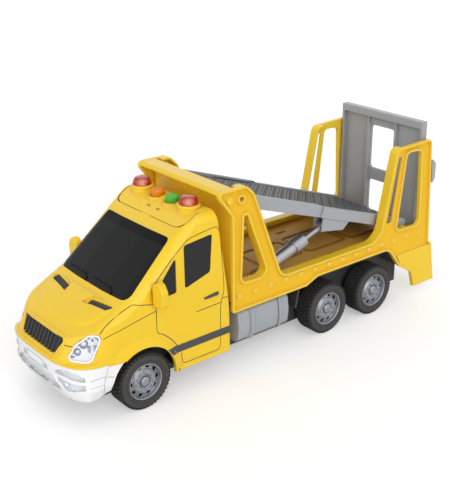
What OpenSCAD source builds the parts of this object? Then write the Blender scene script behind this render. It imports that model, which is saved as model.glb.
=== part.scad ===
// Toy recovery truck: van cab, tandem rear axles, tilting car deck and drop-down tailgate.
// X points forward, Y to the left side, Z up, and the ground under the middle is the origin.

/* [Wheels] */
// Outside diameter of a tyre
tyre_d = 38.4; // [32:0.2:46]
// Width of a tyre
tyre_w = 15; // [10:0.5:16]
// Diameter of the rim seat inside a tyre
rim_d = 25.2; // [20:0.2:28]
// Diameter of the steel axles
axle_d = 3; // [2:0.1:4]
// Distance from the centre plane to a tyre's outer face
wheel_out = 44.1; // [42:0.1:48]
// Front axle, forward of the middle
front_axle_x = 112.6; // [108:0.2:116]
// Middle of the rear axle pair, behind the middle
tandem_x = 70.8; // [66:0.2:76]
// Distance between the two rear axles
tandem_gap = 48.3; // [48:0.1:52]

/* [Cab] */
// Half width of the cab at the doors
cab_half = 42.8; // [35:0.2:46]
// Wall thickness of the cab mouldings
cab_wall = 2; // [1.4:0.1:2.4]
// Lowest edge of the door sills
sill_z = 17.3; // [14:0.1:20]
// Height of the flat part of the roof
roof_z = 118.2; // [112:0.2:122]
// Front of the bumper, forward of the middle
front_x = 164.3; // [158:0.1:172]
// Height where bumper and cab moulding meet
bumper_z = 42; // [40:0.2:44]
// Lowest edge of the bumper
bumper_low = 17; // [14:0.2:17.5]
// Play around a front tyre in its arch
arch_gap = 4.2; // [3:0.1:6]
// Diameter of a push button
button_d = 9.4; // [8:0.1:11]
// Travel of a push button
button_travel = 1.5; // [0.5:0.1:1.8]
// Diameter of a beacon lens
beacon_d = 13.2; // [10:0.1:14]
// Height of a beacon lens
beacon_h = 6.2; // [4:0.1:8]

/* [Bed] */
// Distance from the centre plane to a side wall's outer face
wall_out = 44.3; // [42:0.1:50]
// Depth that a wall's panel lies behind its rim
wall_recess = 1.6; // [1:0.1:2]
// Thickness of panel and rim of a side wall
wall_t = 1.6; // [1.2:0.1:2]
// Depth of the rim that turns inward round the big side opening
wall_rim = 4; // [2:0.1:4.2]
// Upper face of the bed floor
floor_z = 52.8; // [51:0.1:56]
// Thickness of the bed floor
floor_t = 2.2; // [1.6:0.1:3]
// Top of the headboard beam
beam_z = 129.6; // [126:0.1:134]
// Top of the rear columns
column_z = 126.4; // [120:0.1:132]

/* [Deck] */
// Angle of the deck as it stands
deck_tilt = 19; // [16:0.1:20]
// Length of the deck from its rear edge
deck_len = 172; // [140:0.5:172]
// Half width of the deck
deck_half = 35.6; // [33:0.1:36]
// Height of a deck side rail
rail_h = 8.8; // [7:0.1:10]
// Width of a deck side rail
rail_w = 3; // [2:0.1:4]
// Diameter of the deck's pivot pins
deck_pin_d = 3.2; // [2:0.1:4]

/* [Lift cylinders] */
// Distance of a cylinder from the centre plane
ram_y = 30.4; // [29:0.1:30.8]
// Diameter of a cylinder barrel
barrel_d = 8.8; // [6:0.1:9.4]
// Diameter of a cylinder rod
rod_d = 4; // [3:0.1:5]
// Diameter of the cylinder pins
ram_pin_d = 2.4; // [1.6:0.1:3]

/* [Tailgate] */
// Top of the tailgate
gate_z = 139.6; // [120:0.2:142]
// Half width of the tailgate
gate_half = 40.5; // [36:0.1:40.6]
// Thickness of the tailgate panel
gate_t = 2.4; // [1.6:0.1:3]
// Height of the tailgate's side rails over its panel
gate_rail = 3.2; // [2:0.1:4]
// Diameter of the tailgate's hinge pins
gate_pin_d = 2.6; // [2:0.1:3.2]

/* [Drive] */
// Tooth size: pitch diameter over tooth count
gear_module = 0.6; // [0.5:0.05:0.62]
// Teeth of the gear on the first rear axle
gear_teeth = 24; // [20:2:24]
// Teeth of the flywheel's pinion
pinion_teeth = 10; // [8:1:12]

/* [Hidden] */
$fn = 48;

// Gap between fixed pieces that seat in each other
seat = 0.05;
// Gap between a pin or axle and the bore it turns in
run = 0.05;
// Gap between moving faces
play = 0.3;
// Overlap that makes a cut pass clean through
eps = 0.5;

// Wheel stations
tyre_r = tyre_d / 2;
axle_z = tyre_r;
rear_x1 = -tandem_x + tandem_gap / 2;
rear_x2 = -tandem_x - tandem_gap / 2;
axle_half = wheel_out - 1.6;
rim_r = rim_d / 2;

// Chassis tray
tray_z = 9;
tray_t = 2;
tray_top = tray_z + tray_t;
rail_in = 24;
rail_out = 26;
tray_rear = -139;
tray_front = 128;
cab_rail_z = 32;
wing_z = sill_z + 0.8;
wing_t = 2;
wing_half = cab_half - cab_wall - seat;
guard_t = 1.6;
guard_z = tyre_d + 6.4;
floor_low = floor_z - floor_t;

// Cab outline stations, forward of the middle
cab_rear = 44;
back_top = 53;
crest_x = 64;
screen_top = [86, 105.4];
screen_low = [124, 73.8];
nose_top = [156.8, 57];
nose_low = [162, 46];
waist_z = 62;
shoulder = cab_half - 2.2;
screen_angle = atan2(screen_top[1] - screen_low[1], screen_low[0] - screen_top[0]);
hood_angle = atan2(screen_low[1] - nose_top[1], nose_top[0] - screen_low[0]);
crown_depth = 120;
nose_x0 = front_axle_x + 14;
nose_front = nose_low[0] + 0.6;
nose_n = 3;
nose_lean = atan2(nose_low[0] - nose_top[0], nose_top[1] - nose_low[1]);
arch_r = tyre_r + arch_gap;
flare_w = 3.4;
flare_t = 0.7;
// Head lamp: a point on its axis, the turn of its axis and the reach of its prism
lamp_x = 150.32;
lamp_in = 6.8;
lamp_turn = 50;
lamp_reach = 60;

// Bumper: wall, inward flange on top, and skirt that leans back below skirt_z
bumper_t = 2.2;
bumper_x0 = front_axle_x + 22;
bumper_n = 3.4;
flange_t = 1.6;
skirt_z = 26;
skirt_lean = 29;
skirt_tuck = 4;
skirt_in = 7;

// Door mirror: peg in the door, front and rear faces, outside edge
mirror_peg = [102.6, 74];
mirror_peg_d = 3;
mirror_rear = 100.6;
mirror_front = 105.4;
mirror_out = 54.2;

// Roof fittings
roof_half = cab_half - 6.8;
beacon_share = 0.7056;
button_share = 0.2278;
beacon_x = 63;
beacon_y = roof_half * beacon_share;
button_y = roof_half * button_share;
ring_r = beacon_d / 2 + 0.7;
ring_z = roof_z + 1;
led_d = 5;
board_z = roof_z - 12.2;
board_t = 1.2;
board_top = board_z + board_t;
button_z = roof_z + 3.3;
boss_low = roof_z - 3.8;
collar_d = button_d + 2;
pad_h = button_travel + 0.5;
roof_slot = [72.4, 5];
roof_slot_w = 1.2;
roof_slot_l = 4;
speaker_x = 74;
speaker_d = 26;

// Screws through the tray: into the floor posts and into the cab blocks
screw_d = 2.2;
screw_core = screw_d + 2 * seat;
screw_head = 4.6;
screw_head_h = 1.5;
post_x = [28, -128];
post_y = 18;
post_d = 6;
cab_screw = [62, cab_half - 5.8];
cab_block_w = 7.4;

// Battery compartment in the tray
door_low = [-4, -9];
door_high = [22, 9];
door_t = 1.4;
door_gap = 0.1;
cell_d = 11.6;
cell_t = 5.4;

// Bed stations
web_out = wall_out - wall_recess;
web_in = web_out - wall_t;
rim_in = web_in - wall_rim;
bed_half = web_in - seat;
bed_front = 40;
bed_rear = -141;
panel_t = 2;
beam_t = 3.4;
wall_front = 42.8;
wall_low = 44;
flap_rear = -164.5;
flap_low = 9.1;
arch_z = 48.4;
opening_z = 58.7;
boss_solid = [44.6, 122.2];
boss_open = [35.3, 121.4];
rivet_n = 14;
rivet_s = 3.6;
rivet_x0 = 36.4;
rivet_pitch = 13.76;
rivet_z = 54.4;

// Deck pivot and lift linkage, in the X-Z plane
deck_pin = [-130, floor_z + 4.5];
ram_base = [11, floor_z + 4.8];
ram_eye = [82.5, -6.2];
deck_rear = -4.3;
rail_mid = 4.9;
rail_low = rail_mid - rail_h / 2;
rail_top = rail_mid + rail_h / 2;
rail_step = [93.7, 96.7];
rail_drop = 0.8;
bracket_u = 58.7;
pivot_d = deck_pin_d + 4;
pin_end = web_out - 0.5;
deck_front = deck_rear + deck_len;
tread_t = 1.6;
tread_low = rail_top - tread_t - 2;
eye_w = 5;
cheek_t = 2;
cheek_gap = 0.6;
cheek_in = ram_y - eye_w / 2 - cheek_gap;
cheek_out = ram_y + eye_w / 2 + cheek_gap;
slot_long = 1.5;
slot_wide = 0.9;
eye_xz = deck_pin + turn2(ram_eye, deck_tilt);
ram_len = norm(eye_xz - ram_base);
ram_angle = atan2(eye_xz[1] - ram_base[1], ram_base[0] - eye_xz[0]);
barrel_start = 6;
barrel_end = 46;
head_d = barrel_d + 1.6;
head_len = 9;
rod_start = 21;

// Tailgate hinge, in the X-Z plane
gate_pin = [-146, 47];
gate_back = gate_pin[0] - gate_t / 2;
gate_front = gate_pin[0] + gate_t / 2;
ear_z = [92, 110];
ear_rear = -156;
ear_front = -151.8;
ear_slant = 0.6;

// Drive train
gear_r = gear_module * gear_teeth / 2;
pinion_r = gear_module * pinion_teeth / 2;
fly_z = axle_z + gear_r + pinion_r;
fly_r = gear_r + pinion_r - axle_d / 2 - 0.7;
case_half = 17;
case_t = 1.6;
fly_shaft_d = 2;

// Unit vector along v
function unit(v) = v / norm(v);
// Vector v turned by angle a
function turn2(v, a) = [v[0] * cos(a) - v[1] * sin(a), v[0] * sin(a) + v[1] * cos(a)];
// Left-hand normal of v
function left(v) = [-v[1], v[0]];
// Point i of a closed list
function at(p, i) = p[(i + len(p)) % len(p)];
// First two numbers of a corner
function xy(p) = [p[0], p[1]];
// Direction of the edge that leaves corner i
function edge(p, i) = unit(xy(at(p, i + 1)) - xy(at(p, i)));
// Signed turn at corner i
function bend(p, i) = let (u = edge(p, i - 1), v = edge(p, i)) atan2(cross(u, v), u * v);

// Outline of corners [x, y, radius], listed counter-clockwise, moved inward by d
function inset(p, d) = [
  for (i = [0:len(p) - 1])
    let (m = left(edge(p, i - 1)), n = left(edge(p, i)))
      let (q = xy(p[i]) + d * (m + n) / (1 + m * n), grow = bend(p, i) > 0 ? -d : d)
        [q[0], q[1], p[i][2] > 0 ? max(0.05, p[i][2] + grow) : 0]
];

// Outline of corners [x, y, radius] with each corner rounded by an arc of chords up to a step
function rounded(p, step = 14) = [
  for (i = [0:len(p) - 1])
    let (r = p[i][2], b = bend(p, i), u = edge(p, i - 1), s = sign(b))
      let (start = xy(p[i]) - u * r * tan(abs(b) / 2), mid = start + left(u) * r * s)
        let (steps = r > 0 ? max(1, ceil(abs(b) / step)) : 0)
          for (k = [0:steps])
            steps == 0 ? xy(p[i]) : mid + turn2(start - mid, b * k / steps)
];

// Open line of points thickened to its left by t
function strip(p, t) = let (n = len(p) - 1)
  concat(p, [
    for (i = [n:-1:0])
      let (u = unit(p[min(i + 1, n)] - p[min(i, n - 1)]), v = unit(p[max(i, 1)] - p[max(i - 1, 0)]))
        p[i] + t * (left(u) + left(v)) / (1 + left(u) * left(v))
  ]);

// Half of a nose in plan: width half, from station x0 to front x1, squareness n
function nose(x0, x1, half, n, count = 14) = [
  for (k = [0:count])
    let (a = 90 * k / count)
      [x0 + (x1 - x0) * pow(cos(a), 2 / n), half * pow(sin(a), 2 / n)]
];

// Plan outline of a nose, closed at station x_back
function nose_plan(x_back, x0, x1, half, n) = let (h = nose(x0, x1, half, n))
  concat([[x_back, -half]], [for (i = [len(h) - 1:-1:1]) [h[i][0], -h[i][1]]], h, [[x_back, half]]);

// Plate between y0 and y1 with an outline in X and Z
module plate_xz(points, y0, y1) {
  translate([0, y1, 0])
    rotate([90, 0, 0])
      linear_extrude(y1 - y0)
        polygon(points);
}

// Plate between x0 and x1 with an outline in Y and Z
module plate_yz(points, x0, x1) {
  translate([x0, 0, 0])
    rotate([90, 0, 90])
      linear_extrude(x1 - x0)
        polygon(points);
}

// Block between two corners
module block(low, high) {
  translate(low)
    cube(high - low);
}

// Rod along Y at [x, z] between y0 and y1
module rod_y(p, d, y0, y1) {
  translate([p[0], y1, p[1]])
    rotate([90, 0, 0])
      cylinder(d = d, h = y1 - y0);
}

// Rod along Z at [x, y] between z0 and z1
module rod_z(p, d, z0, z1) {
  translate([p[0], p[1], z0])
    cylinder(d = d, h = z1 - z0);
}

// Children as drawn for the left side, or mirrored for the right side
module on_side(s) {
  if (s > 0) {
    children();
  } else {
    mirror([0, 1, 0])
      children();
  }
}

// Children on both sides
module both_sides() {
  on_side(1)
    children();
  on_side(-1)
    children();
}

// Cab outline seen from the left, listed counter-clockwise
function cab_profile() = [
  [cab_rear, 1, 0],
  [nose_front, 1, 0],
  [nose_front, nose_low[1] - 4, 3],
  [nose_low[0], nose_low[1], 8],
  [nose_top[0], nose_top[1], 5],
  [screen_low[0], screen_low[1], 10],
  [screen_top[0], screen_top[1], 14],
  [crest_x, roof_z - 0.2, 12],
  [back_top, roof_z, 3],
  [cab_rear + 1, floor_z - 3, 6]
];

// Cab outline seen from behind, listed counter-clockwise
function cab_section() = [
  [-cab_half, 0, 0],
  [cab_half, 0, 0],
  [cab_half, waist_z, 30],
  [shoulder, roof_z, 9],
  [-shoulder, roof_z, 9],
  [-cab_half, waist_z, 30]
];

// Section square to a slope: flat crown with corners of radius r at half width w, dropped by h
function crown(w, h, r, top) = [
  [-cab_half - 2, -crown_depth, 0],
  [cab_half + 2, -crown_depth, 0],
  [w, -h, r],
  [0, top, 300],
  [-w, -h, r]
];

// Prism below a slope that passes through the foot of the windscreen
module slope_prism(section, angle) {
  translate([screen_low[0], 0, screen_low[1]])
    rotate([0, angle, 0])
      plate_yz(rounded(section, 9), -crown_depth, crown_depth);
}

// Plan outline drawn up along an axis that leans forward by an angle, true to size at height z0
module lean_prism(plan, z0, angle) {
  translate([front_axle_x, 0, z0])
    rotate([0, angle, 0])
      translate([0, 0, -crown_depth])
        linear_extrude(2 * crown_depth)
          polygon([for (q = plan) [(q[0] - front_axle_x) * cos(angle), q[1]]]);
}

// Plan of the cab, moved inward by d, and long enough behind to clear its back
function cab_plan(d) = nose_plan(-cab_rear, nose_x0, nose_front - d, cab_half - d, nose_n);

// Cab solid, moved inward by d
module cab_solid(d) {
  intersection() {
    plate_xz(rounded(inset(cab_profile(), d), 9), -cab_half, cab_half);
    plate_yz(rounded(inset(cab_section(), d), 9), cab_rear, front_x);
    lean_prism(cab_plan(d), nose_low[1], -nose_lean);
    union() {
      slope_prism(inset(crown(cab_half + 0.2, 1.2, 12, 0.6), d), screen_angle);
      slope_prism(inset(crown(cab_half + 0.2, 2, 8, 0.9), d), hood_angle);
    }
  }
}

// Skin of the cab between the depths d0 and d1
module cab_skin(d0, d1) {
  difference() {
    cab_solid(d0);
    cab_solid(d1);
  }
}

// Outline of the windscreen in Y and Z
function screen_outline() = [
  [5.2 - cab_half, screen_low[1] + 0.8, 3],
  [cab_half - 5.2, screen_low[1] + 0.8, 3],
  [cab_half - 8.9, screen_top[1], 3],
  [8.9 - cab_half, screen_top[1], 3]
];

// Outline of the door window in X and Z
function door_window() = [
  [59.6, 78.2, 2],
  [79.8, 72.4, 1.5],
  [79.4, 100.8, 2],
  [57, 103, 1.5]
];

// Outline of the quarter window in X and Z
function quarter_window() = [
  [86.4, 71.8, 1],
  [93.2, 71.3, 1],
  [96.4, 82.8, 1],
  [85.8, 95, 1]
];

// Outline of the glass carrier behind both windows in X and Z
function glass_carrier() = [
  [54.6, 69.4, 2],
  [98.6, 69.4, 2],
  [98.6, 84, 2],
  [82, 105.6, 2],
  [54.6, 105.6, 2]
];

// Outline of the grille in Y and Z
function grille_outline() = [
  [-19.3, 46.2, 2.5],
  [19.3, 46.2, 2.5],
  [23.8, 56.2, 2],
  [-23.8, 56.2, 2]
];

// Outline of a hood vent in X and Y
function vent_outline() = [
  [129.4, 13.2, 0.6],
  [134.5, 13, 0.6],
  [131.1, cab_half - 9.6, 0.6],
  [126.4, cab_half - 10.6, 0.6]
];

// Outline of a head lamp, seen square to it, sideways and up
function lamp_outline() = [
  [-10.2, 46.2, 2],
  [-8.5, 44.8, 1],
  [2.2, 43.4, 2],
  [5.4, 44.9, 2],
  [10.1, 56.7, 2],
  [9.6, 59.6, 2],
  [3.8, 60.8, 6],
  [-5.5, 54.7, 8]
];

// Prism through the cab side
module side_prism(outline, d) {
  plate_xz(rounded(inset(outline, d)), cab_half / 2, cab_half + eps);
}

// Prism through the left head lamp
module lamp_prism(d) {
  translate([lamp_x, cab_half - lamp_in, 0])
    rotate([0, 0, lamp_turn])
      plate_yz(rounded(inset(lamp_outline(), d)), -lamp_reach, lamp_reach);
}

// Prism through a hood vent
module vent_prism(d) {
  translate([0, 0, bumper_z])
    linear_extrude(bumper_z)
      polygon(rounded(inset(vent_outline(), d)));
}

// Plan outline of the roof panel
function roof_outline() = [
  [back_top + 2.2, -roof_half, 3],
  [78, -roof_half, 7],
  [78, roof_half, 7],
  [back_top + 2.2, roof_half, 3]
];

// Prism through the roof panel
module roof_prism(d) {
  translate([0, 0, board_z])
    linear_extrude(roof_z - board_z + eps)
      polygon(rounded(inset(roof_outline(), d)));
}

// Mounting block of the cab above a chassis wing
module cab_block() {
  difference() {
    block([cab_screw[0] - cab_block_w / 2, cab_screw[1] - cab_block_w / 2, wing_z + wing_t + seat],
          [cab_screw[0] + cab_block_w / 2, cab_half - cab_wall + eps, wing_z + 14]);
    rod_z(cab_screw, screw_core, wing_z, wing_z + 10);
  }
}

module cab_shell() {
  color("gold") {
    difference() {
      union() {
        cab_skin(0, cab_wall);
        both_sides()
          rod_y([front_axle_x, axle_z], 2 * (arch_r + flare_w), cab_half - 1, cab_half + flare_t);
      }
      block([0, -cab_half - 1, -tyre_d], [front_x, cab_half + 1, sill_z]);
      block([front_axle_x, -cab_half - 1, -tyre_d], [front_x + 1, cab_half + 1, bumper_z + play]);
      rod_y([front_axle_x, axle_z], 2 * arch_r, -cab_half - 1, cab_half + 1);
      block([0, -rail_out - play, 0], [cab_rear + 2 * cab_wall, rail_out + play, cab_rail_z + play]);
      plate_yz(rounded(screen_outline()), screen_top[0] - 1, screen_low[0] + 1);
      plate_yz(rounded(grille_outline()), nose_top[0] - 8, front_x);
      roof_prism(0);
      both_sides() {
        side_prism(door_window(), 0);
        side_prism(quarter_window(), 0);
        lamp_prism(0);
        vent_prism(0);
        rod_y(mirror_peg, mirror_peg_d, cab_half - 4, cab_half + 1);
      }
    }
    both_sides()
      cab_block();
  }
}

module roof_panel() {
  color("gold") {
    difference() {
      union() {
        intersection() {
          cab_skin(0, cab_wall);
          roof_prism(seat);
        }
        both_sides() {
          rod_z([beacon_x, beacon_y], 2 * ring_r, boss_low, ring_z);
          rod_z([beacon_x, button_y], button_d + 5, boss_low, roof_z - 1);
          rod_z([beacon_x - 4, (button_y + beacon_y) / 2], 4, board_top, roof_z - 1);
        }
      }
      both_sides() {
        rod_z([beacon_x, beacon_y], led_d + 2 * seat, board_z, ring_z + eps);
        rod_z([beacon_x, button_y], button_d + 2 * play, board_z, roof_z + eps);
        rod_z([beacon_x, button_y], collar_d + 2 * play, board_z, boss_low);
        block([roof_slot[0] - roof_slot_w / 2, roof_slot[1] - roof_slot_l / 2, board_z],
              [roof_slot[0] + roof_slot_w / 2, roof_slot[1] + roof_slot_l / 2, roof_z]);
      }
    }
  }
}

module windscreen() {
  color("#2b2b2d")
    intersection() {
      cab_skin(0, cab_wall);
      plate_yz(rounded(inset(screen_outline(), seat)), screen_top[0] - 1, screen_low[0] + 1);
    }
}

module side_glass(s) {
  color("#2b2b2d")
    on_side(s) {
      intersection() {
        cab_skin(0.6, cab_wall + 1);
        union() {
          side_prism(door_window(), seat);
          side_prism(quarter_window(), seat);
        }
      }
      intersection() {
        cab_skin(cab_wall + seat, cab_wall + 1.4);
        side_prism(glass_carrier(), 0);
      }
    }
}

module grille() {
  slats = 11;
  pitch = 4;
  color("#161617")
    intersection() {
      plate_yz(rounded(inset(grille_outline(), seat)), nose_top[0] - 8, front_x);
      union() {
        cab_skin(1.2, cab_wall + 0.6);
        intersection() {
          cab_skin(0.2, cab_wall);
          for (i = [0:slats - 1])
            block([140, (i - (slats - 1) / 2) * pitch - 1, bumper_z],
                  [front_x, (i - (slats - 1) / 2) * pitch + 1, waist_z]);
        }
      }
    }
}

module hood_vents() {
  color("#161617")
    intersection() {
      cab_skin(0.8, cab_wall);
      both_sides()
        vent_prism(seat);
    }
}

module lamp_lens(s) {
  color("#f4f6fa", 0.6)
    on_side(s)
      intersection() {
        cab_skin(0, 1);
        lamp_prism(seat);
      }
}

module lamp_reflector(s) {
  color("silver")
    on_side(s)
      intersection() {
        cab_skin(1.2, cab_wall + 1);
        lamp_prism(2 * seat);
      }
}

// Plan of the bumper with its front moved back by a and its sides moved in by b
function bumper_plan(a, b) = nose_plan(front_axle_x, bumper_x0, front_x - a, cab_half - b, bumper_n);

// Section of the bumper in Y and Z, with its sides drawn in toward the ground
function bumper_section() = [
  [skirt_tuck - cab_half, bumper_low, 0],
  [cab_half - skirt_tuck, bumper_low, 0],
  [cab_half, skirt_z, 10],
  [cab_half, bumper_z, 0],
  [-cab_half, bumper_z, 0],
  [-cab_half, skirt_z, 10]
];

module front_bumper() {
  color("white")
    difference() {
      intersection() {
        linear_extrude(bumper_z)
          polygon(bumper_plan(0, 0));
        lean_prism(bumper_plan(0, 0), skirt_z, skirt_lean);
        plate_yz(rounded(bumper_section()), front_axle_x + 10, front_x);
      }
      translate([0, 0, skirt_z - 2])
        linear_extrude(bumper_z - flange_t - skirt_z + 2)
          polygon(bumper_plan(bumper_t + 1, bumper_t));
      linear_extrude(skirt_z)
        polygon(bumper_plan(skirt_in + 2, skirt_in));
      linear_extrude(2 * bumper_z)
        polygon(cab_plan(cab_wall));
      rod_y([front_axle_x, axle_z], 2 * arch_r, -cab_half - 1, cab_half + 1);
    }
}

// Outline of a mirror housing in Y and Z
function mirror_outline() = [
  [cab_half + 0.6, 69, 2],
  [mirror_out - 1, 69.6, 3],
  [mirror_out, 80, 5],
  [mirror_out - 4.4, 87, 4],
  [cab_half + 0.6, 83, 3]
];

module door_mirror(s) {
  color("gold")
    on_side(s) {
      plate_yz(rounded(mirror_outline()), mirror_rear, mirror_front);
      rod_y(mirror_peg, mirror_peg_d - 2 * seat, cab_half - cab_wall, cab_half + 2);
    }
}

module beacon(s) {
  color("red", 0.6)
    translate([beacon_x, s * beacon_y, ring_z + seat])
      rotate_extrude()
        polygon(concat(
          [[led_d / 2 + 1.2, 0], [beacon_d / 2, 0], [beacon_d / 2 - 0.8, beacon_h - 2]],
          [for (a = [0:15:90]) [beacon_d / 2 - 2.8 + 2 * cos(a), beacon_h - 2 + 2 * sin(a)]],
          [[0, beacon_h], [0, beacon_h - 1.2], [led_d / 2 + 1.2, beacon_h - 1.2]]
        ));
}

module beacon_leds() {
  color("ivory")
    both_sides()
      translate([beacon_x, beacon_y, 0]) {
        rod_z([0, 0], led_d, boss_low - 1, ring_z + 1.5);
        rod_z([0, 0], led_d + 0.8, boss_low - 1, boss_low - seat);
        rod_z([1.2, 0], 0.6, board_top, boss_low);
        rod_z([-1.2, 0], 0.6, board_top, boss_low);
      }
}

module push_button(s) {
  translate([beacon_x, s * button_y, 0]) {
    rod_z([0, 0], button_d, boss_low - 1.2, button_z);
    rod_z([0, 0], collar_d, boss_low - 1.6, boss_low - play);
    rod_z([0, 0], 4, board_top + pad_h + seat, boss_low - 1);
  }
}

module green_button() {
  color("limegreen")
    push_button(1);
}

module orange_button() {
  color("darkorange")
    push_button(-1);
}

module switch_pad(s) {
  color("dimgray")
    rod_z([beacon_x, s * button_y], 6, board_top, board_top + pad_h);
}

module circuit_board() {
  color("darkgreen")
    block([back_top + 3, 3 - roof_half, board_z], [back_top + 20, roof_half - 3, board_top - seat]);
}

module speaker() {
  color("dimgray")
    translate([speaker_x, 0, tray_top + seat])
      rotate_extrude()
        polygon([[0, 0], [speaker_d / 2, 0], [speaker_d / 2, 1.6], [speaker_d / 3, 5.6], [0, 5.6]]);
}

// Axle beam with its bore running clear of the axle
module axle_bores(extra) {
  for (x = [front_axle_x, rear_x1, rear_x2])
    rod_y([x, axle_z], axle_d + 2 * extra, -rail_out - 1, rail_out + 1);
}

// Arch over a pair of rear wheels, from its front edge to its rear edge
function guard_path() = [
  [rear_x1 + tyre_r + 9, axle_z + 8],
  [rear_x1 + tyre_r + 5, guard_z],
  [rear_x2 - tyre_r + 3, guard_z],
  [rear_x2 - tyre_r - 9, axle_z + 12]
];

module chassis_frame() {
  color("#1b1b1c")
    difference() {
      union() {
        block([tray_rear, -rail_out, tray_z], [tray_front, rail_out, tray_top]);
        both_sides() {
          block([tray_rear, rail_in, tray_z], [bed_front, rail_out, floor_low]);
          block([bed_front - 1, rail_in, tray_z], [tray_front + 6, rail_out, cab_rail_z]);
          block([cab_rear + 3, rail_in, wing_z], [front_axle_x - arch_r - 3, wing_half, wing_z + wing_t]);
          plate_xz(strip(guard_path(), -guard_t), rail_in, rim_in + wall_rim - 1);
          block([door_low[0], 6.2, tray_z], [door_high[0], 7.8, tray_top + 6]);
        }
        block([tray_front, -rail_out, sill_z], [tray_front + 12, rail_out, sill_z + 2]);
        intersection() {
          block([tray_front + 11, -cab_half, sill_z], [front_x, cab_half, sill_z + 2]);
          translate([0, 0, sill_z - 1])
            linear_extrude(4)
              polygon(bumper_plan(skirt_in + 2 + seat, skirt_in + seat));
        }
      }
      axle_bores(run);
      block([door_low[0], door_low[1], tray_z - 1], [door_high[0], door_high[1], tray_z + door_t]);
      block([door_low[0] + 2, -6.2, tray_z], [door_high[0] - 2, 6.2, tray_top + 1]);
      for (x = post_x)
        both_sides()
          rod_z([x, post_y], screw_core, tray_z - 1, tray_top + 1);
      both_sides()
        rod_z(cab_screw, screw_core, wing_z - 1, wing_z + wing_t + 1);
      for (a = [0:60:300])
        rod_z([speaker_x + 7 * cos(a), 7 * sin(a)], 2.4, tray_z - 1, tray_top + 1);
    }
}

module axle(x) {
  color("silver")
    rod_y([x, axle_z], axle_d, -axle_half, axle_half);
}

// Cross-section of a tyre, radius and distance along the axle
function tyre_profile() = [
  [rim_r + seat, -tyre_w / 2 + 0.6, 0],
  [rim_r + 2, -tyre_w / 2, 0],
  [tyre_r - 2, -tyre_w / 2, 1],
  [tyre_r, -tyre_w / 2 + 1.8, 1],
  [tyre_r, tyre_w / 2 - 1.8, 1],
  [tyre_r - 2, tyre_w / 2, 1],
  [rim_r + 2, tyre_w / 2, 0],
  [rim_r + seat, tyre_w / 2 - 0.6, 0]
];

// Middle of a wheel on side s
function wheel_mid(x, s) = [x, s * (wheel_out - tyre_w / 2), axle_z];

module tyre(x, s) {
  color("#2c2b2b")
    translate(wheel_mid(x, s))
      rotate([90, 0, 0])
        rotate_extrude()
          polygon(rounded(tyre_profile()));
}

// Cross-section of a rim, radius and distance outward from the tyre's middle
function rim_profile() = let (e = tyre_w / 2 - 0.4, b = axle_d / 2 + seat)
  [
    [b, -4], [4, -4], [4, e - 4.4], [rim_r - 1.8, e - 4.4], [rim_r - 1.8, -e], [rim_r, -e],
    [rim_r, e], [rim_r - 1.2, e], [rim_r - 2.4, e - 2.6], [6.5, e - 2.2], [3.4, e - 1.4], [3, e], [b, e]
  ];

module rim(x, s) {
  holes = 10;
  color("#a9abae")
    translate(wheel_mid(x, s))
      rotate([s > 0 ? -90 : 90, 0, 0])
        difference() {
          rotate_extrude()
            polygon(rim_profile());
          for (i = [0:holes - 1])
            rotate([0, 0, 360 * i / holes])
              rod_z([8.4, 0], 2.2, 0, tyre_w);
        }
}

// Outline of a fuel tank in Y and Z, moved inward by d
function tank_outline(d) = rounded(inset([
  [rail_out + 0.1, sill_z + 0.6, 4],
  [wall_out - 2.4, sill_z + 0.6, 6],
  [wall_out - 0.8, 30, 20],
  [wall_out - 2.4, wall_low - 1, 5],
  [rail_out + 0.1, wall_low - 1, 3]
], d));

module fuel_tank(s) {
  tank_rear = -8.6;
  tank_front = 36.4;
  strap_w = 2.6;
  color("#b4b6b8")
    on_side(s) {
      plate_yz(tank_outline(0.7), tank_rear, tank_front);
      for (x = [-0.9, 25.3])
        plate_yz(tank_outline(0), x - strap_w / 2, x + strap_w / 2);
    }
}

module battery_door() {
  color("#1b1b1c")
    block([door_low[0] + door_gap, door_low[1] + door_gap, tray_z],
          [door_high[0] - door_gap, door_high[1] - door_gap, tray_z + door_t - door_gap]);
}

module battery_cells() {
  cells = 3;
  color("silver")
    for (i = [0:cells - 1])
      translate([1 + i * (cell_t + seat), 0, tray_z + door_t + cell_d / 2])
        rotate([0, 90, 0])
          cylinder(d = cell_d, h = cell_t);
}

module chassis_screws() {
  color("silver") {
    for (x = post_x)
      both_sides() {
        rod_z([x, post_y], screw_d, tray_z - eps, tray_top + 8);
        rod_z([x, post_y], screw_head, tray_z - seat - screw_head_h, tray_z - seat);
      }
    both_sides() {
      rod_z(cab_screw, screw_d, wing_z - eps, wing_z + 9);
      rod_z(cab_screw, screw_head, wing_z - seat - screw_head_h, wing_z - seat);
    }
  }
}

// Gear outline with straight-flanked teeth
function gear_outline(teeth, m) = let (r = m * teeth / 2, step = 360 / teeth)
  [
    for (i = [0:teeth - 1])
      for (c = [[-0.3, -1.15], [-0.22, -0.3], [-0.12, 0.85], [0.12, 0.85], [0.22, -0.3], [0.3, -1.15]])
        let (a = (i + c[0]) * step, q = r + c[1] * m)
          [q * cos(a), q * sin(a)]
  ];

// Disc with an outline, along Y at [x, z], between y0 and y1
module disc_y(p, outline, y0, y1) {
  translate([p[0], y1, p[1]])
    rotate([90, 0, 0])
      linear_extrude(y1 - y0)
        polygon(outline);
}

module drive_gear() {
  color("white")
    difference() {
      rotate_about([rear_x1, axle_z], 90)
        disc_y([rear_x1, axle_z], gear_outline(gear_teeth, gear_module), 6, 10);
      rod_y([rear_x1, axle_z], axle_d + 2 * seat, 0, 16);
    }
}

// Children turned about the Y axis through [x, z]
module rotate_about(p, a) {
  translate([p[0], 0, p[1]])
    rotate([0, a, 0])
      translate([-p[0], 0, -p[1]])
        children();
}

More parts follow.
